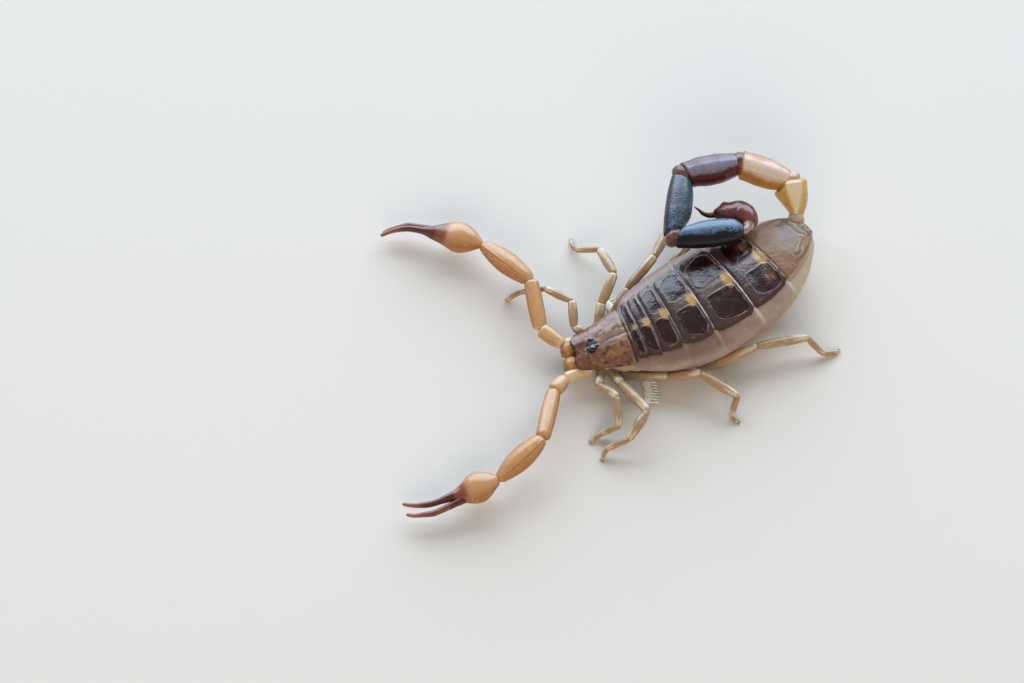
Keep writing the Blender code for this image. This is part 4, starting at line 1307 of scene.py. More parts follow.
def hand_piece(name, tube):
    """The palm and its fixed finger in one: a flask that narrows smoothly into a long thin neck."""
    lengthwise = eased(evenly(tube["path"], HAND_ROWS), HAND_EASING)
    at = np.linspace(0, tube["length"], HAND_ROWS)
    shape = eased(curve_values(at, tube["at"], tube["shape"]), HAND_EASING)
    smooth = {"path": lengthwise, "at": at, "shape": shape, "length": tube["length"]}
    relief = keel_relief((40, 320), 0.02, 0.2)
    points, s, turn, length = segment_points(smooth, -0.08, tube["length"], relief=relief, step=0.06,
                                             columns=90, caps=(0.35, 0.3), neck=(0.4, 0.7), rim=(0, 1))
    share = s / length
    swell = 1 + 0.16 * bell(share - 0.24, 0.11) + 0.25 * bell(share - 0.52, 0.07)
    swell = swell - 0.3 * smoothstep(0.75, 1, share)
    centre = points.mean(axis=1, keepdims=True)
    points = centre + (points - centre) * swell[..., None]
    points[..., 2] = np.maximum(points[..., 2], 0.0)
    # pale: a painted sheen on top of the hand
    masks = {
        "pale": 0.8 * smoothstep(0.1, 0.95, np.cos(turn)) + 0 * s,
        "keel": relief(s, turn, length) * 20 * smoothstep(0.4, 0.3, share),
        "hand": smoothstep(PALM_SHARE - 0.18, PALM_SHARE + 0.02, share + 0.03 * np.cos(turn)),
        "finger": smoothstep(PALM_SHARE - 0.04, PALM_SHARE + 0.08, share),
        "tip": smoothstep(0.6, 1.0, share),
    }
    return grid_mesh(name, points, masks, feeler_shell)


for side in SIDES:
    palp = f"palp_{side}"
    base, ring, arm, forearm = [tubes[f"{palp}_{part}"] for part in PALP_PARTS[:4]]
    hand_name = f"{palp}_hand"
    hand = measure_tube(hand_name, forearm["path"][-1], free_end(hand_name, forearm["path"][-1]), stations=41,
                        end_skip=0.25)
    print(palp, "hand radii", np.round(hand["shape"][::4, 0], 2), "length", round(float(hand["length"]), 2))
    parts = (
        # part, tube, keels in degrees, strength of the painted sheen on top, whiteness, neck, rim
        ("base", base, (0,), 0.7, 0.75, (-0.35, 1.0), (-0.05, 0.4)),
        ("ring", ring, (60, 300), 0.6, 0.45, (0.12, 0.5), (0.0, 0.4)),
        ("arm", arm, (60, 300), 0.6, 0.0, (0.14, 0.5), (-0.05, 0.3)),
        ("forearm", forearm, (30, 325), 0.5, 0.0, (0.32, 0.6), (-0.25, 0.6)),
    )
    for part, tube, keels, painted_top_sheen, whiteness, neck, rim in parts:
        start = -0.5 if part == "base" else -0.1
        made = feeler_segment(f"{palp}_{part}_skin", tube, start, tube["length"] + 0.08, keels, painted_top_sheen,
                              whiteness, neck=neck, rim=rim, caps=(0.4, 0.4))
        settle(made, "palps", f"{palp}_{part}")
    settle(hand_piece(f"{palp}_hand_skin", hand), "palps", hand_name)
    mover = tubes[f"{palp}_finger_moving"]
    settle(finger_piece(f"{palp}_free_finger", mover, -0.9, mover["length"], 0.3), "fingers",
           f"{palp}_finger_moving")
print("two feelers of five segments, each with a hand and a free finger")

# %% [markdown]
# ## The tail
# Five barrel-shaped rings and the sting's bulb make the tail, which this animal carries curled up and over.
# The first two rings are yellow, the third is red, and the last two are nearly black. Their shells are
# thick and glossy. Under an open sky the flat upper faces of the rings show a broad sheen, pale on the
# yellow rings, violet-grey on the red one and slate blue on the dark ones, and that sheen is painted there
# as one more layer of colour: a painted reflection of the sky. The dark rings are dimpled with small pits,
# and these are real hollows in the mesh. Neighbouring rings are cut along one slanting plane,
# halfway between their directions, and a soft collar fills the wedge that a bend opens on its outer side.

# %% Tail finishes
def tail_shell(name, ground, edge, top, pit, gloss, glow):
    return cuticle(
        name,
        ground,
        # top: a painted sheen, the reflected sky on a ring's upper face
        layers=(("top", top, 0.8), ("edge", edge, 0.85), ("line", edge, 0.8), ("pit", pit, 0.95)),
        mottle=((edge, 0.5, 0.52, 0.74),),
        roughness=gloss,
        glow=glow,
        pebbles=(0.05, 0.2),
    )


tail_finishes = [
    # straw yellow that lets light deep in, with a creamy painted sheen on top
    tail_shell("pale_yellow_tail_cuticle", "#c0954c", "#ad7c34", "#dccdb1", "#8a6a34", (0.2, 0.3), 0.3),
    # darker honey, still clear enough to glow at its edges, with a pale painted sheen on top
    tail_shell("amber_tail_cuticle", "#a4702d", "#966427", "#cdb9a6", "#6a4622", (0.16, 0.26), 0.25),
    # deep ox-blood red with the sharpest shine of all the rings, and a violet-grey painted sheen on top
    tail_shell("red_tail_cuticle", "#44150e", "#54200f", "#7a7787", "#1c0a08", (0.12, 0.2), 0.06),
    # dense brown-black, with a broad slate-blue painted sheen on top, broken by its pits
    tail_shell("black_tail_cuticle", "#140e0f", "#2c170f", "#445664", "#070708", (0.26, 0.36), 0.02),
    # the blackest ring, with the bluest painted sheen on its upper face
    tail_shell("blue_black_tail_cuticle", "#0f0d0f", "#22140e", "#58718a", "#050506", (0.28, 0.38), 0.02),
]
bulb_shell = cuticle(
    "red_bulb_cuticle",  # a smooth translucent red-brown flask, with a painted glow of light near the sting and a painted sheen on top
    "#5e261d",
    layers=(
        ("root", "#a88f8a", 0.9),
        ("ring", "#7a3c30", 0.8),
        # glow is a painted glow of light in the bulb near the sting, and top a painted sheen
        ("glow", "#93401e", 0.85),
        ("top", "#66383a", 0.5),
        ("tip", "#3a1712", 0.8),
        ("pit", "#3a1712", 0.5),
    ),
    mottle=(("#75352a", 0.6, 0.5, 0.72),),
    roughness=(0.16, 0.26),
    glow=0.12,
)
sting_shell = cuticle(
    "sting_cuticle",  # the hardest, densest cuticle on the animal: almost black, like polished horn
    "#341612",
    layers=(("root", "#6e3024", 0.9),),
    roughness=(0.16, 0.24),
    glow=0.05,
)
collar_skin = cuticle(
    "brown_collar_skin",  # soft clear skin between two rings, stretched on the outer side of each bend
    "#6a463c",
    layers=(("pale", "#c0a690", 0.8),),
    mottle=(("#4c2c24", 0.4, 0.48, 0.64),),
    roughness=(0.26, 0.38),
    glow=0.25,
)
print("tail finishes:", [finish.name for finish in tail_finishes])

# %% Five rings
TAIL_RINGS = (
    # slot, keels in degrees, keel height, pit depth, neck, rim
    ("tail_yellow", (28, 332, 100, 260), 0.05, 0.0, (0.48, 1.3), (0.06, 0.6)),
    ("tail_amber", (38, 322, 100, 260), 0.04, 0.012, (0.14, 0.6), (0.03, 0.4)),
    ("tail_red", (42, 318, 110, 250), 0.035, 0.02, (0.12, 0.6), (0.02, 0.4)),
    ("tail_black", (), 0.0, 0.03, (0.08, 0.6), (0.0, 0.4)),
    ("tail_black", (), 0.0, 0.035, (0.0, 0.6), (-0.12, 0.8)),
)
RING_WIDTHS = (1.08, 1.02, 1.01, 0.97, 0.99)
# where each ring's painted sheen lies on its top face, in degrees: its middle, and its half width at the root
# and at the end
PAINTED_SHEEN_FACES = ((0, 12, 36), (13, 36, 36), (10, 28, 28), (8, 58, 58), (20, 44, 44))
RING_CAPS = ((0.5, 0.5), (0.5, 0.45), (0.5, 0.5), (0.6, 0.6), (0.6, 1.1))
PIT_SIZE = 0.26
PIT_STRENGTH = (0.5, 0.55, 0.7, 1.8, 2.4)
PIT_SIDES = (0, 0, 0, 0, 1)  # the fifth ring is smooth along its middle and pitted beside it
NECK_ROOM = 0.72  # the fifth ring ends this much early, to leave room for the bulb's soft neck
TAIL_ROOT_BACK = 25.6  # how far back the tail starts
trunk_rear = unit(from_trunk(TAIL_ROOT_BACK, 0, 0) - from_trunk(TAIL_ROOT_BACK - 1, 0, 0))
directions = [trunk_rear] + [unit(tubes[name]["path"][-1] - tubes[name]["path"][0]) for name in tail[:5]]
slants = [unit(a + b) for a, b in zip(directions, directions[1:])] + [None]


def painted_sheen_face(number, s, turn, length):
    """Where a ring's painted sheen lies: its flat upper face, between its two top keels, with a ragged
    border.
    """
    middle, at_root, at_end = np.radians(PAINTED_SHEEN_FACES[number])
    off = np.abs(angle_from(turn, middle))
    half = at_root + (at_end - at_root) * s / length
    ragged = 0.05 * ripples(s, turn, 0.3, 70 + number) + 0.14 * ripples(s, turn, 1.1, 75 + number)
    return smoothstep(half + 0.45, half - 0.45, off + ragged * (number > 0))


def tail_ring(number, slot, angles, height, pit_depth, neck, rim):
    name = tail[number]
    tube = tubes[name]
    radius = tube["shape"][:, 0].mean()

    def relief(s, turn, length):
        keels = keel_relief(angles, height, 0.09)(s, turn, length) if angles else 0.0
        density = 0.5 + 0.5 * smoothstep(0.3, 0.9, s / length)
        density = density * (1 - 0.8 * PIT_SIDES[number] * smoothstep(0.8, 0.98, np.cos(turn - 0.35)))
        pits = dots(s, turn * radius, PIT_SIZE, 60 + number) * density
        uneven = 0.012 * ripples(s, np.minimum(turn, 2 * math.pi - turn) * radius, 0.5, 80 + number)
        return keels + uneven - pit_depth * pits * smoothstep(0.15, 0.5, s) * smoothstep(0.1, 0.4, length - s)

    last = number == len(TAIL_RINGS) - 1
    end = tube["length"] - NECK_ROOM if last else tube["length"] + 0.05
    # rings one and two meet square, and every other pair along a slanting plane
    mitres = (slants[number] if number != 1 else None, slants[number + 1] if number else None)
    points, s, turn, length = segment_points(tube, -0.05, end, thin=RING_WIDTHS[number], step=0.038,
                                             columns=230, caps=RING_CAPS[number], neck=neck, rim=rim,
                                             relief=relief, mitres=mitres)
    # the painted sheen: reflected sky painted on the ring's upper face
    top = painted_sheen_face(number, s, turn, length) * smoothstep(0.05, 0.4, s)
    masks = {
        "top": top * smoothstep(0.05, 0.4, length - s),
        "edge": smoothstep(0.1, -0.5, np.cos(turn)),
        "line": bell(length - s - 0.3, 0.05) * (number < 3),
        "pit": PIT_STRENGTH[number] * dots(s, turn * radius, PIT_SIZE, 60 + number)
        * (0.5 + 0.5 * smoothstep(0.3, 0.9, s / length))
        * (1 - 0.65 * PIT_SIDES[number] * smoothstep(0.8, 0.98, np.cos(turn - 0.35))),
    }
    return settle(grid_mesh(f"{name}_shell", points, masks, tail_finishes[number]), slot, name)


for number, row in enumerate(TAIL_RINGS):
    report(tail_ring(number, *row))

# %% Soft collars at the bends
def collar_piece(centre, radius, axis, squash, pale):
    """A slightly wrinkled ball with its poles on an axis."""
    share = np.linspace(0.03, math.pi - 0.03, 36)
    path = np.asarray(centre) - np.outer(np.cos(share) * radius * squash, unit(np.asarray(axis, dtype=float)))
    return curved_tube("collar", path, radius * np.sin(share), 60, collar_skin, {"pale": pale}, wrinkle=0.02)


collars = []
COLLAR_SHARES = (0.86, 0.9, 0.93, 1.0)  # each collar's radius as a share of its neighbours' radius
COLLAR_SHIFTS = (0.0, 0.05, 0.15, 0.3)  # millimetres towards the outer side of the bend
for number, share in enumerate(COLLAR_SHARES):
    before, after = tubes[tail[number]], tubes[tail[number + 1]]
    outward = unit(directions[number + 1] - directions[number + 2])
    centre = (before["path"][-1] + after["path"][0]) / 2 + COLLAR_SHIFTS[number] * outward
    radius = share * (before["shape"][-1, 0] + after["shape"][0, 0]) / 2
    pale = 0.8 if number == 0 else 0.1
    collars.append(collar_piece(centre, radius, slants[number + 1], 0.75, pale))
root = tubes["tail_1"]["path"][0]
collars.append(collar_piece(root, 0.8, slants[0], 0.8, 0.7))
settle(joined("tail_collars", collars), "tail_amber")
print("soft collars:", len(COLLAR_SHARES) + 1)

# %% [markdown]
# ## The bulb and the sting
# The last piece of the tail is a flask that holds the venom. A short white neck of soft skin joins it to
# the fifth ring, it swells to a round red-brown bulb, and it ends in a fine curved needle.

# %% Bulb with its soft neck
def smooth_line(points, count):
    """A smooth line through a few points, with equal steps."""
    points = np.asarray(points, dtype=float)
    knots = np.arange(len(points), dtype=float)
    fine = curve_values(np.linspace(0, len(points) - 1, 40 * len(points)), knots, points)
    return evenly(fine, count)


def bulb_piece():
    rows, columns = 160, 150
    ring_five, bulb = tubes["tail_5"], tubes["sting_bulb"]
    end, heading = ring_five["path"][-1], directions[5]
    proximal, centre, distal = bulb["path"][0], bulb["path"][10], bulb["path"][-1]
    inward = unit(distal - proximal)
    bend = (end + proximal) / 2 - 0.25 * heading
    line = smooth_line([end - 1.5 * heading, end - 0.7 * heading, bend, centre - 0.75 * inward, centre,
                        distal + 0.15 * inward], rows)
    along = np.linspace(0, 1, rows)
    radius = np.interp(along, (0, 0.1, 0.2, 0.28, 0.38, 0.5, 0.68, 0.82, 0.92, 1.0),
                       (0.3, 0.36, 0.36, 0.58, 1.05, 1.28, 1.24, 1.02, 0.68, 0.3))
    radius = eased(radius, 30)
    radius[0], radius[-1] = 0.05, 0.12
    _, left, up = sideways_frames(line)
    turns = full_turn(columns)
    at, turn = np.meshgrid(along, turns, indexing="ij")
    uneven = 0.012 * ripples(at * 7, np.minimum(turn, 2 * math.pi - turn), 0.5, 91)
    pits = dots(at * 7, turn * 1.1, 0.3, 92)
    corner = 0.2 * bell(at - 0.86, 0.05) * bell(angle_from(turn, math.radians(300)), 0.45)
    wide = radius[:, None] + (uneven - 0.012 * pits) * smoothstep(0.2, 0.4, at) + corner
    points = line[:, None] + spokes(turns, left, up) * wide[..., None]
    # glow: a painted glow of light through the bulb near the sting; top: a painted sheen on its upper side
    masks = {
        "root": smoothstep(0.3, 0.22, at),
        "ring": bell(at - 0.34, 0.05),
        "glow": bell(at - 0.8, 0.12) * bell(angle_from(turn, math.radians(55)), 0.7),
        "top": smoothstep(0.5, 0.95, np.cos(turn)),
        "tip": smoothstep(0.9, 0.98, at),
        "pit": pits * smoothstep(0.3, 0.5, at),
    }
    return grid_mesh("sting_bulb_shell", points, masks, bulb_shell)


report(settle(bulb_piece(), "bulb", "sting_bulb"))

# %% The needle
def sting_piece():
    tube = tubes["sting_point"]
    line = smooth_line([tubes["sting_bulb"]["path"][-3], *tube["path"][[1, 5, 10, 15, 20]]], 60)
    along = np.linspace(0, 1, len(line))
    radius = 0.3 * (1 - along) ** 0.75 + 0.035
    masks = {"root": smoothstep(0.5, 0.15, along)[:, None]}
    return curved_tube("sting_skin", line, radius, 32, sting_shell, masks)


settle(sting_piece(), "sting", "sting_point")
print("the needle is", round(float(tubes["sting_point"]["length"]), 2), "mm long")

# %% [markdown]
# ## Eyes
# Two simple eyes stand on the mound in the middle of the head, and three tiny ones sit at each front
# corner. Each is a clear dome over black pigment, so it is black with a sharp bright reflection, inside a
# dark slate raised ring, whose colour is a painted ring of highlight round the lens.

# %% Eye finish and eyes
eye_lens = bpy.data.materials.new("black_polished_lens")  # glassy dome over black pigment: mirror-sharp light
eye_lens.use_nodes = True
lens_tree = eye_lens.node_tree
lens_place = add(lens_tree, "ShaderNodeTexCoord").outputs["Object"]
lens_haze = add(lens_tree, "ShaderNodeTexNoise", {"Vector": lens_place, "Scale": per_mm(0.3), "Detail": 2.0})
lens_tint = add(lens_tree, "ShaderNodeMix", {"Factor": lens_haze.outputs["Fac"], A: colour("#07070a"),
                B: colour("#12131a")}, data_type="RGBA")
lens = lens_tree.nodes["Principled BSDF"]
lens_tree.links.new(lens_tint.outputs[RESULT], lens.inputs["Base Color"])
lens.inputs["Roughness"].default_value = 0.05
lens.inputs["IOR"].default_value = 1.6
lens.inputs["Coat Weight"].default_value = 1.0
lens.inputs["Coat Roughness"].default_value = 0.03
socket_shell = cuticle(
    "slate_eye_ring_cuticle",  # a hard rim round each black lens, whose slate colour is a painted ring of highlight
    "#545a68",
    mottle=(("#3c3f49", 0.2, 0.5, 0.7),),
    roughness=(0.2, 0.3),
    glow=0.02,
)
# an eye from the side: the way outwards and the width there, both in eye radii
EYE_OUTLINE = ((-0.6, 0.75), (-0.1, 0.98), (0.2, 0.97), (0.5, 0.84), (0.75, 0.62), (0.92, 0.34), (1.0, 0.06))
SIDE_EYES = ((0.25, 0.11), (0.48, 0.13), (0.7, 0.1))  # how far back each eye lies, and its radius, in mm
SHIELD_LENGTH = 5.27  # from its front edge to its rear one


def eye_piece(name, centre, outward, radius, material):
    """A lens that bulges from a socket: its outline is turned round the axis it looks along."""
    outline = np.array(EYE_OUTLINE)
    steps = np.linspace(0, len(outline) - 1, 24)
    smooth = curve_values(steps, np.arange(len(outline), dtype=float), outline)
    path = centre + np.outer(smooth[:, 0] * radius, unit(outward))
    return curved_tube(name, path, smooth[:, 1] * radius, 32, material)


def centre_of(name):
    low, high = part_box(name)
    return np.array((low + high) / 2) / MM


head_forward = unit(from_trunk(0, 0, 0) - from_trunk(1, 0, 0))
head_left = unit(from_trunk(0, 1, 0) - from_trunk(0, 0, 0))
for side, sign in zip(SIDES, (1, -1)):
    node = f"eye_{side}"
    look = 0.75 * sign * head_left + np.array([0, 0, 0.75]) + 0.12 * head_forward
    radius = (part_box(node)[1].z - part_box(node)[0].z) / 2 / MM
    spot = centre_of(node) + np.array([0, 0, 0.12])
    settle(eye_piece(f"{node}_lens", spot + 0.09 * unit(look), look, radius * 1.06, eye_lens), "eyes", node)
    ring = eye_piece(f"{node}_socket", spot - 0.1 * unit(look), look, radius * 1.24, socket_shell)
    for vertex in ring.data.vertices:
        vertex.co -= Vector(0.08 * MM * unit(look))
    settle(ring, "eyes")
side_eyes = []
for sign in (1, -1):
    for step, size in SIDE_EYES:
        v = sign * (0.93 - 0.04 * step)
        spot = plate_points(plates["carapace"], np.array(step / SHIELD_LENGTH), np.array(v), 0.0)
        look = sign * head_left + 0.4 * head_forward + np.array([0, 0, 0.6])
        side_eyes.append(eye_piece("side_eye", spot, look, size, eye_lens))
settle(joined("side_eyes", side_eyes), "eyes")
print("eyes: two in the middle and", 2 * len(SIDE_EYES), "at the corners")

# %% [markdown]
# ## Jaws
# Under the front edge two small amber pincers tear the food. Each has a swollen palm and two dark, hooked
# fingers, and a fringe of hairs.

# %% Jaws
jaw_shell = cuticle(
    "amber_jaw_cuticle",  # honey-coloured and clear, with fingers as dark as horn, and a painted highlight along each palm
    "#99672f",
    layers=(("dark", "#4a2618", 0.9), ("pale", "#b88c56", 0.5)),
    mottle=(("#7c4f24", 0.5, 0.48, 0.7),),
    roughness=(0.26, 0.38),
    glow=0.3,
)
JAW_HALF_WIDTH = 0.93  # the solids are slimmer than the real jaws, which fill the whole front edge
JAW_ROWS = 40


def jaw_piece(side):
    node = f"chelicera_{side}"
    sign = 1 if side == "left" else -1
    spots = to_trunk(solid_points(node))
    low, high = spots.min(axis=0), spots.max(axis=0)
    length, rise = high[0] - low[0], (low[2] + high[2]) / 2
    half = JAW_HALF_WIDTH
    middle = sign * (half - 0.08)

    def line(points):
        forwards, lefts, lifts = np.array(points, dtype=float).T
        back, left = high[0] - forwards * length, middle + sign * lefts * half
        return smooth_line(from_trunk(back, left, rise + lifts), JAW_ROWS)

    share = np.linspace(0, 1, JAW_ROWS)
    # the palm's pale band is a painted highlight
    palm = curved_tube("palm", line([(0.0, 0, 0.1), (0.3, 0, 0.12), (0.6, 0, 0.08), (0.95, 0.06, -0.05)]),
                       half * np.sin(np.clip(share * 2.76 + 0.35, 0, math.pi)) ** 0.32 * 0.98, 64, jaw_shell,
                       {"pale": 0.6 * bell(share[:, None] - 0.6, 0.2), "dark": 0.0}, flat=0.68, wrinkle=0.012)
    fingers = []
    for lean, thick in ((0.45, 0.2), (-0.4, 0.17)):
        path = line([(0.55, lean, -0.25), (0.75, lean, -0.45), (0.88, lean * 0.6, -0.65),
                     (0.9, lean * 0.1, -0.85)])
        fingers.append(curved_tube("finger", path, thick * (1 - 0.8 * share**1.6), 20, jaw_shell,
                                   {"dark": smoothstep(0.35, 0.8, share)[:, None], "pale": 0.0}))
    return settle(joined(f"jaw_{side}", [palm, *fingers]), "jaws", node)


for side in SIDES:
    report(jaw_piece(side))

# %% [markdown]
# ## Combs
# Behind the last legs a scorpion has two combs, which feel and smell the ground. Each is a pale curved bar
# with a row of blunt teeth behind it. The teeth repeat along a line, so Geometry Nodes place them: the tree
# takes the bar's line, spaces points along it, and puts one tooth at each.

# %% A tree that sets teeth along a line
comb_shell = cuticle(
    "pale_comb_cuticle",  # thin greenish-white cuticle, dull because it is covered in tiny sense organs
    "#efeee0",
    mottle=(("#c2c0a8", 0.3, 0.48, 0.68), ("#e0dfd0", 0.2, 0.55, 0.7)),
    roughness=(0.4, 0.55),
    glow=0.3,
)


def new_tree(name, *inputs):
    """A Geometry Nodes tree with its sockets, and the outputs of its input node."""
    tree = bpy.data.node_groups.new(name, "GeometryNodeTree")
    face = tree.interface
    for label, kind in (("Geometry", "Geometry"), *inputs):
        face.new_socket(label, in_out="INPUT", socket_type=f"NodeSocket{kind}")
    face.new_socket("Geometry", in_out="OUTPUT", socket_type="NodeSocketGeometry")
    return tree, add(tree, "NodeGroupInput").outputs


def teeth_tree(material):
    tree, given = new_tree("teeth_along_a_line", ("Tooth count", "Int"), ("Tooth length", "Float"),
                           ("Tooth width", "Float"), ("Pointing", "Vector"))
    line = add(tree, "GeometryNodeMeshToCurve", {"Mesh": given["Geometry"]})
    spaced = add(tree, "GeometryNodeResampleCurve", {"Curve": line.outputs["Curve"],
                 "Count": given["Tooth count"]})
    tooth = add(tree, "GeometryNodeMeshUVSphere", {"Segments": 12, "Rings": 8, "Radius": 0.5})
    moved = add(tree, "GeometryNodeTransform", {"Geometry": tooth.outputs["Mesh"],
                "Translation": (0, 0, 0.4)})
    turned = add(tree, "FunctionNodeAlignRotationToVector", {"Vector": given["Pointing"]}, axis="Z")
    size = add(tree, "ShaderNodeCombineXYZ", {"X": given["Tooth width"], "Y": given["Tooth width"],
               "Z": given["Tooth length"]})
    placed = add(tree, "GeometryNodeInstanceOnPoints", {"Points": spaced.outputs["Curve"],
                 "Instance": moved.outputs["Geometry"], "Rotation": turned.outputs["Rotation"],
                 "Scale": size.outputs["Vector"]})
    real = add(tree, "GeometryNodeRealizeInstances", {"Geometry": placed.outputs["Instances"]})
    smooth = add(tree, "GeometryNodeSetShadeSmooth", {"Geometry": real.outputs["Geometry"]})
    dressed = add(tree, "GeometryNodeSetMaterial", {"Geometry": smooth.outputs[0], "Material": material})
    add(tree, "NodeGroupOutput", {"Geometry": dressed.outputs["Geometry"]})
    return tree


def grown(name, mesh, tree, values):
    """What a tree makes of a mesh, as a plain mesh object."""
    seedbed = put_in_scene(name + "_seedbed", mesh)
    modifier = seedbed.modifiers.new("grow", "NODES")
    modifier.node_group = tree
    for item in tree.interface.items_tree:
        if item.in_out == "INPUT" and item.name in values:
            modifier[item.identifier] = values[item.name]
    shown = seedbed.evaluated_get(bpy.context.evaluated_depsgraph_get())
    made = put_in_scene(name, bpy.data.meshes.new_from_object(shown))
    bpy.data.objects.remove(seedbed)
    return made


tooth_tree = teeth_tree(comb_shell)
print("tooth tree has", len(tooth_tree.nodes), "nodes")

# %% Two combs
COMB_TEETH = 17


def comb_piece(side):
    node = f"pecten_{side}"
    spots = to_trunk(solid_points(node))
    sign = 1 if side == "left" else -1
    reach = np.abs(spots[:, 1])
    low, high = spots.min(axis=0), spots.max(axis=0)
    out = np.linspace(reach.min() + 0.1, reach.max() - 0.15, 24)
    backs = []
    for at in out:
        near = np.abs(reach - at) < 0.5
        backs.append((spots[near, 0].min() + spots[near, 0].max()) / 2)
    fit = np.polyfit(out, backs, 2)
    bar = from_trunk(np.polyval(fit, out) - 0.2, sign * out, (low[2] + high[2]) / 2)
    share = np.linspace(0, 1, len(bar))
    thick = 0.46 * np.sqrt(np.clip(1 - (2 * share - 1) ** 8, 0.02, 1)) * (1.15 - 0.35 * share)
    shaft = curved_tube("shaft", bar, thick, 20, comb_shell, flat=0.5, wrinkle=0.015)
    line = bpy.data.meshes.new("comb_line")
    line.from_pydata((bar[1:-1] * MM).tolist(), [(i, i + 1) for i in range(len(bar) - 3)], [])
    rearward = unit(from_trunk(1, sign * 0.35, 0) - from_trunk(0, 0, 0))
    teeth = grown("teeth", line, tooth_tree, {"Tooth count": COMB_TEETH, "Tooth length": 1.15 * MM,
                  "Tooth width": 0.23 * MM, "Pointing": [float(x) for x in rearward]})
    return settle(joined(f"comb_{side}", [shaft, teeth]), "combs", node)


for side in SIDES:
    made = comb_piece(side)
    print(made.name, "has", COMB_TEETH, "teeth")

# %% [markdown]
# ## Bristles
# Legs, feelers, jaws, the second tail ring and the bulb carry sparse stiff bristles, each a tapering hair
# up to half a millimetre long and a fortieth thick. They are scattered over a surface, so Geometry Nodes
# grow them: the tree throws points on the faces, stands a thin cone at each, and leans it a random way.

# %% A tree that grows bristles
bristle_horn = cuticle(
    "brown_bristle_horn",  # the same horn as the shell, drawn out to a dull brown hair
    "#4a3424",
    mottle=(("#2e1e14", 0.3, 0.4, 0.6),),
    roughness=(0.45, 0.6),
    glow=0.0,
)
HAIR_SIDES = 5
HAIR_FACES = HAIR_SIDES + 2  # the sides and both ends


def bristle_tree(material):
    tree, given = new_tree("bristles_on_a_surface", ("Density", "Float"), ("Length", "Float"),
                           ("Thickness", "Float"), ("Seed", "Int"))
    spots = add(tree, "GeometryNodeDistributePointsOnFaces", {"Mesh": given["Geometry"],
                "Density": given["Density"], "Seed": given["Seed"]})
    thin = add(tree, "ShaderNodeMath", {0: given["Thickness"], 1: 0.5}, operation="MULTIPLY")
    tip = add(tree, "ShaderNodeMath", {0: given["Thickness"], 1: 0.12}, operation="MULTIPLY")
    hair = add(tree, "GeometryNodeMeshCone", {"Vertices": HAIR_SIDES, "Radius Bottom": thin.outputs[0],
               "Radius Top": tip.outputs[0], "Depth": given["Length"]})
    lean = add(tree, "FunctionNodeRandomValue", {"Min": (-0.7, -0.7, 0.0), "Max": (0.7, 0.7, 6.28),
               "Seed": given["Seed"]}, data_type="FLOAT_VECTOR")
    turn = add(tree, "FunctionNodeRotateRotation", {"Rotation": spots.outputs["Rotation"],
               "Rotate By": lean.outputs["Value"]}, rotation_space="LOCAL")
    size = add(tree, "FunctionNodeRandomValue", {2: 0.45, 3: 1.15, "Seed": given["Seed"]}, data_type="FLOAT")
    placed = add(tree, "GeometryNodeInstanceOnPoints", {"Points": spots.outputs["Points"],
                 "Instance": hair.outputs["Mesh"], "Rotation": turn.outputs["Rotation"],
                 "Scale": size.outputs[1]})
    real = add(tree, "GeometryNodeRealizeInstances", {"Geometry": placed.outputs["Instances"]})
    dressed = add(tree, "GeometryNodeSetMaterial", {"Geometry": real.outputs["Geometry"],
                  "Material": material})
    add(tree, "NodeGroupOutput", {"Geometry": dressed.outputs["Geometry"]})
    return tree


hair_tree = bristle_tree(bristle_horn)
PER_SQUARE_MM = 1 / MM**2


def bristles(name, slot, endings, per_square_mm, length, thickness, seed):
    """Bristles on every piece whose name has one of some endings."""
    meshes = [obj for obj in list(bpy.context.scene.objects) if obj.type == "MESH"]
    sources = sorted([obj for obj in meshes if obj.name.endswith(endings)], key=lambda obj: obj.name)
    sizes = {"Density": per_square_mm * PER_SQUARE_MM, "Length": length * MM, "Thickness": thickness * MM}
    tufts = [grown("tuft", source.data, hair_tree, {**sizes, "Seed": seed + i})
             for i, source in enumerate(sources)]
    tufts = [tuft for tuft in tufts if len(tuft.data.vertices)]
    piece = joined(name, tufts)
    for vertex in piece.data.vertices:
        vertex.co.z = max(vertex.co.z, 0.0)
    return settle(piece, slot)


for name, slot, endings, density, length, thickness, seed in (
    ("leg_bristles", "legs", ("_shin_skin", "_foot_skin"), 1.8, 0.45, 0.024, 11),
    ("feeler_bristles", "palps", ("_hand_skin", "_arm_skin", "_forearm_skin"), 0.3, 0.45, 0.022, 31),
    ("finger_bristles", "fingers", ("_free_finger",), 1.2, 0.4, 0.022, 51),
    ("tail_bristles", "tail_red", ("tail_2_shell", "sting_bulb_shell"), 0.2, 0.3, 0.02, 71),
    ("jaw_bristles", "jaws", ("jaw_left", "jaw_right"), 2.0, 0.25, 0.02, 91),
):
    made = bristles(name, slot, endings, density, length, thickness, seed)
    print(name, "has", len(made.data.polygons) // HAIR_FACES, "hairs")

# %% [markdown]
# ## Stage, light and camera
# The stage is a plain pale floor under a wide, soft sky light. One large soft panel stands on the side away
# from the camera, because a shiny curved shell only shows its shape through what it reflects.

# %% Floor
floor_mesh = bpy.data.meshes.new("floor")
REACH = 0.6
floor_mesh.from_pydata([(-REACH, -REACH, 0), (REACH, -REACH, 0), (REACH, REACH, 0), (-REACH, REACH, 0)], [],
                       [(0, 1, 2, 3)])
floor = put_in_scene("floor", floor_mesh)
paper = bpy.data.materials.new("matt_pale_paper")  # rough paper: soft shadows and no shine of its own
paper.use_nodes = True
card = paper.node_tree.nodes["Principled BSDF"]
card.inputs["Base Color"].default_value = colour("#cfc9bf")
card.inputs["Roughness"].default_value = 0.9
floor_mesh.materials.append(paper)
print("floor is", 2 * REACH, "m wide")

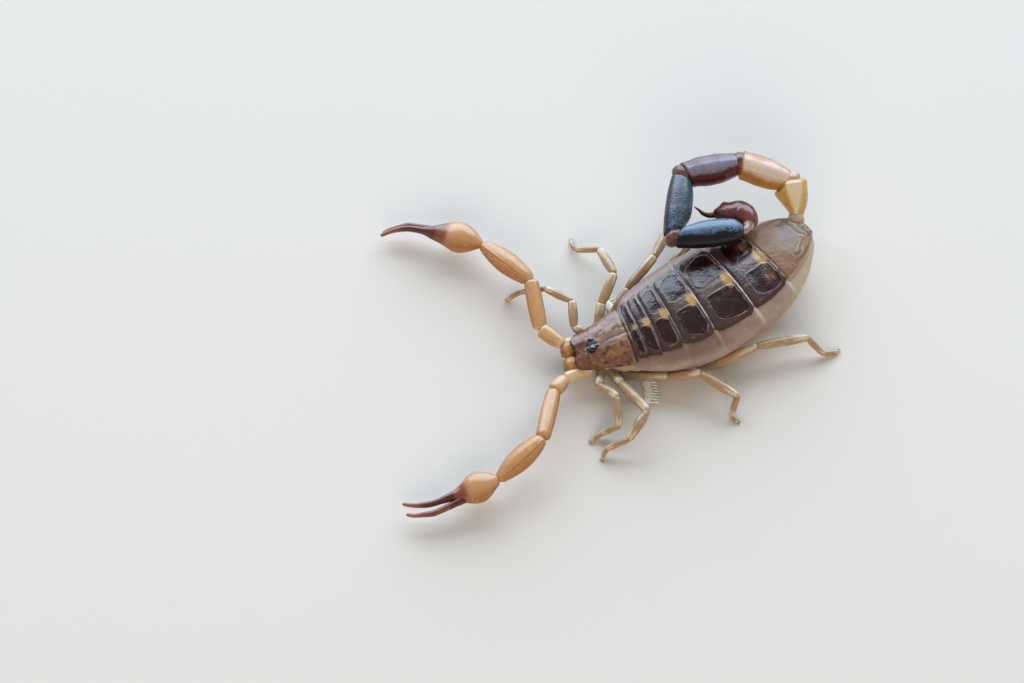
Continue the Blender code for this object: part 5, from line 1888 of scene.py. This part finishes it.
# %% Camera
low, high = cad_box
box_size = Vector(high) - Vector(low)
box_middle = (Vector(high) + Vector(low)) / 2
aim = Vector((box_middle.x + 0.0038 * box_size.x,
              box_middle.y - 0.148 * box_size.y,
              low[2] + 0.361 * box_size.z))
ELEVATION = math.radians(63.0)
CAMERA_DISTANCE = 0.3556
TOWARD = Vector((0.852, -0.524, 0)).normalized()
camera_data = bpy.data.cameras.new("camera")
camera_data.lens = 135.0
camera_data.sensor_width = 36.0
camera_data.clip_start = 0.01
camera_data.clip_end = 10.0
camera = put_in_scene("camera", camera_data)
to_camera = TOWARD * math.cos(ELEVATION) + Vector((0, 0, math.sin(ELEVATION)))
camera.location = aim + to_camera * CAMERA_DISTANCE
camera.rotation_euler = to_camera.to_track_quat("Z", "Y").to_euler()
bpy.context.scene.camera = camera
print("camera stands", round(to_camera.z * CAMERA_DISTANCE, 3), "m above the middle of the animal")

# %% Light
def soft_panel(name, direction, distance, size, power, tint):
    light = bpy.data.lights.new(name, "AREA")
    light.shape = "RECTANGLE"
    light.size, light.size_y = size
    light.energy = power
    light.color = colour(tint)[:3]
    lamp = put_in_scene(name, light)
    lamp.location = aim + Vector(direction).normalized() * distance
    lamp.rotation_euler = Vector(direction).to_track_quat("Z", "Y").to_euler()
    return lamp


PANEL_RISE = math.radians(29)
panel_side = -TOWARD * math.cos(PANEL_RISE) + Vector((0, 0, math.sin(PANEL_RISE)))
soft_panel("sky_panel", panel_side, 0.6, (1.3, 0.62), 15.0, "#cfe0f4")
warm_fill = soft_panel("warm_fill", (0.85, -0.52, 0.6), 0.6, (0.6, 0.35), 2.4, "#ffeed8")
warm_fill.visible_glossy = False  # it lifts the shadows, and draws no streak on the dark rings
sky = bpy.data.worlds.new("sky")
sky.use_nodes = True
sky.node_tree.nodes["Background"].inputs["Color"].default_value = colour("#e8ecf2")
sky.node_tree.nodes["Background"].inputs["Strength"].default_value = 0.33
bpy.context.scene.world = sky
bpy.context.scene.view_settings.view_transform = "Standard"
print("two soft panels and a pale sky light the stage")
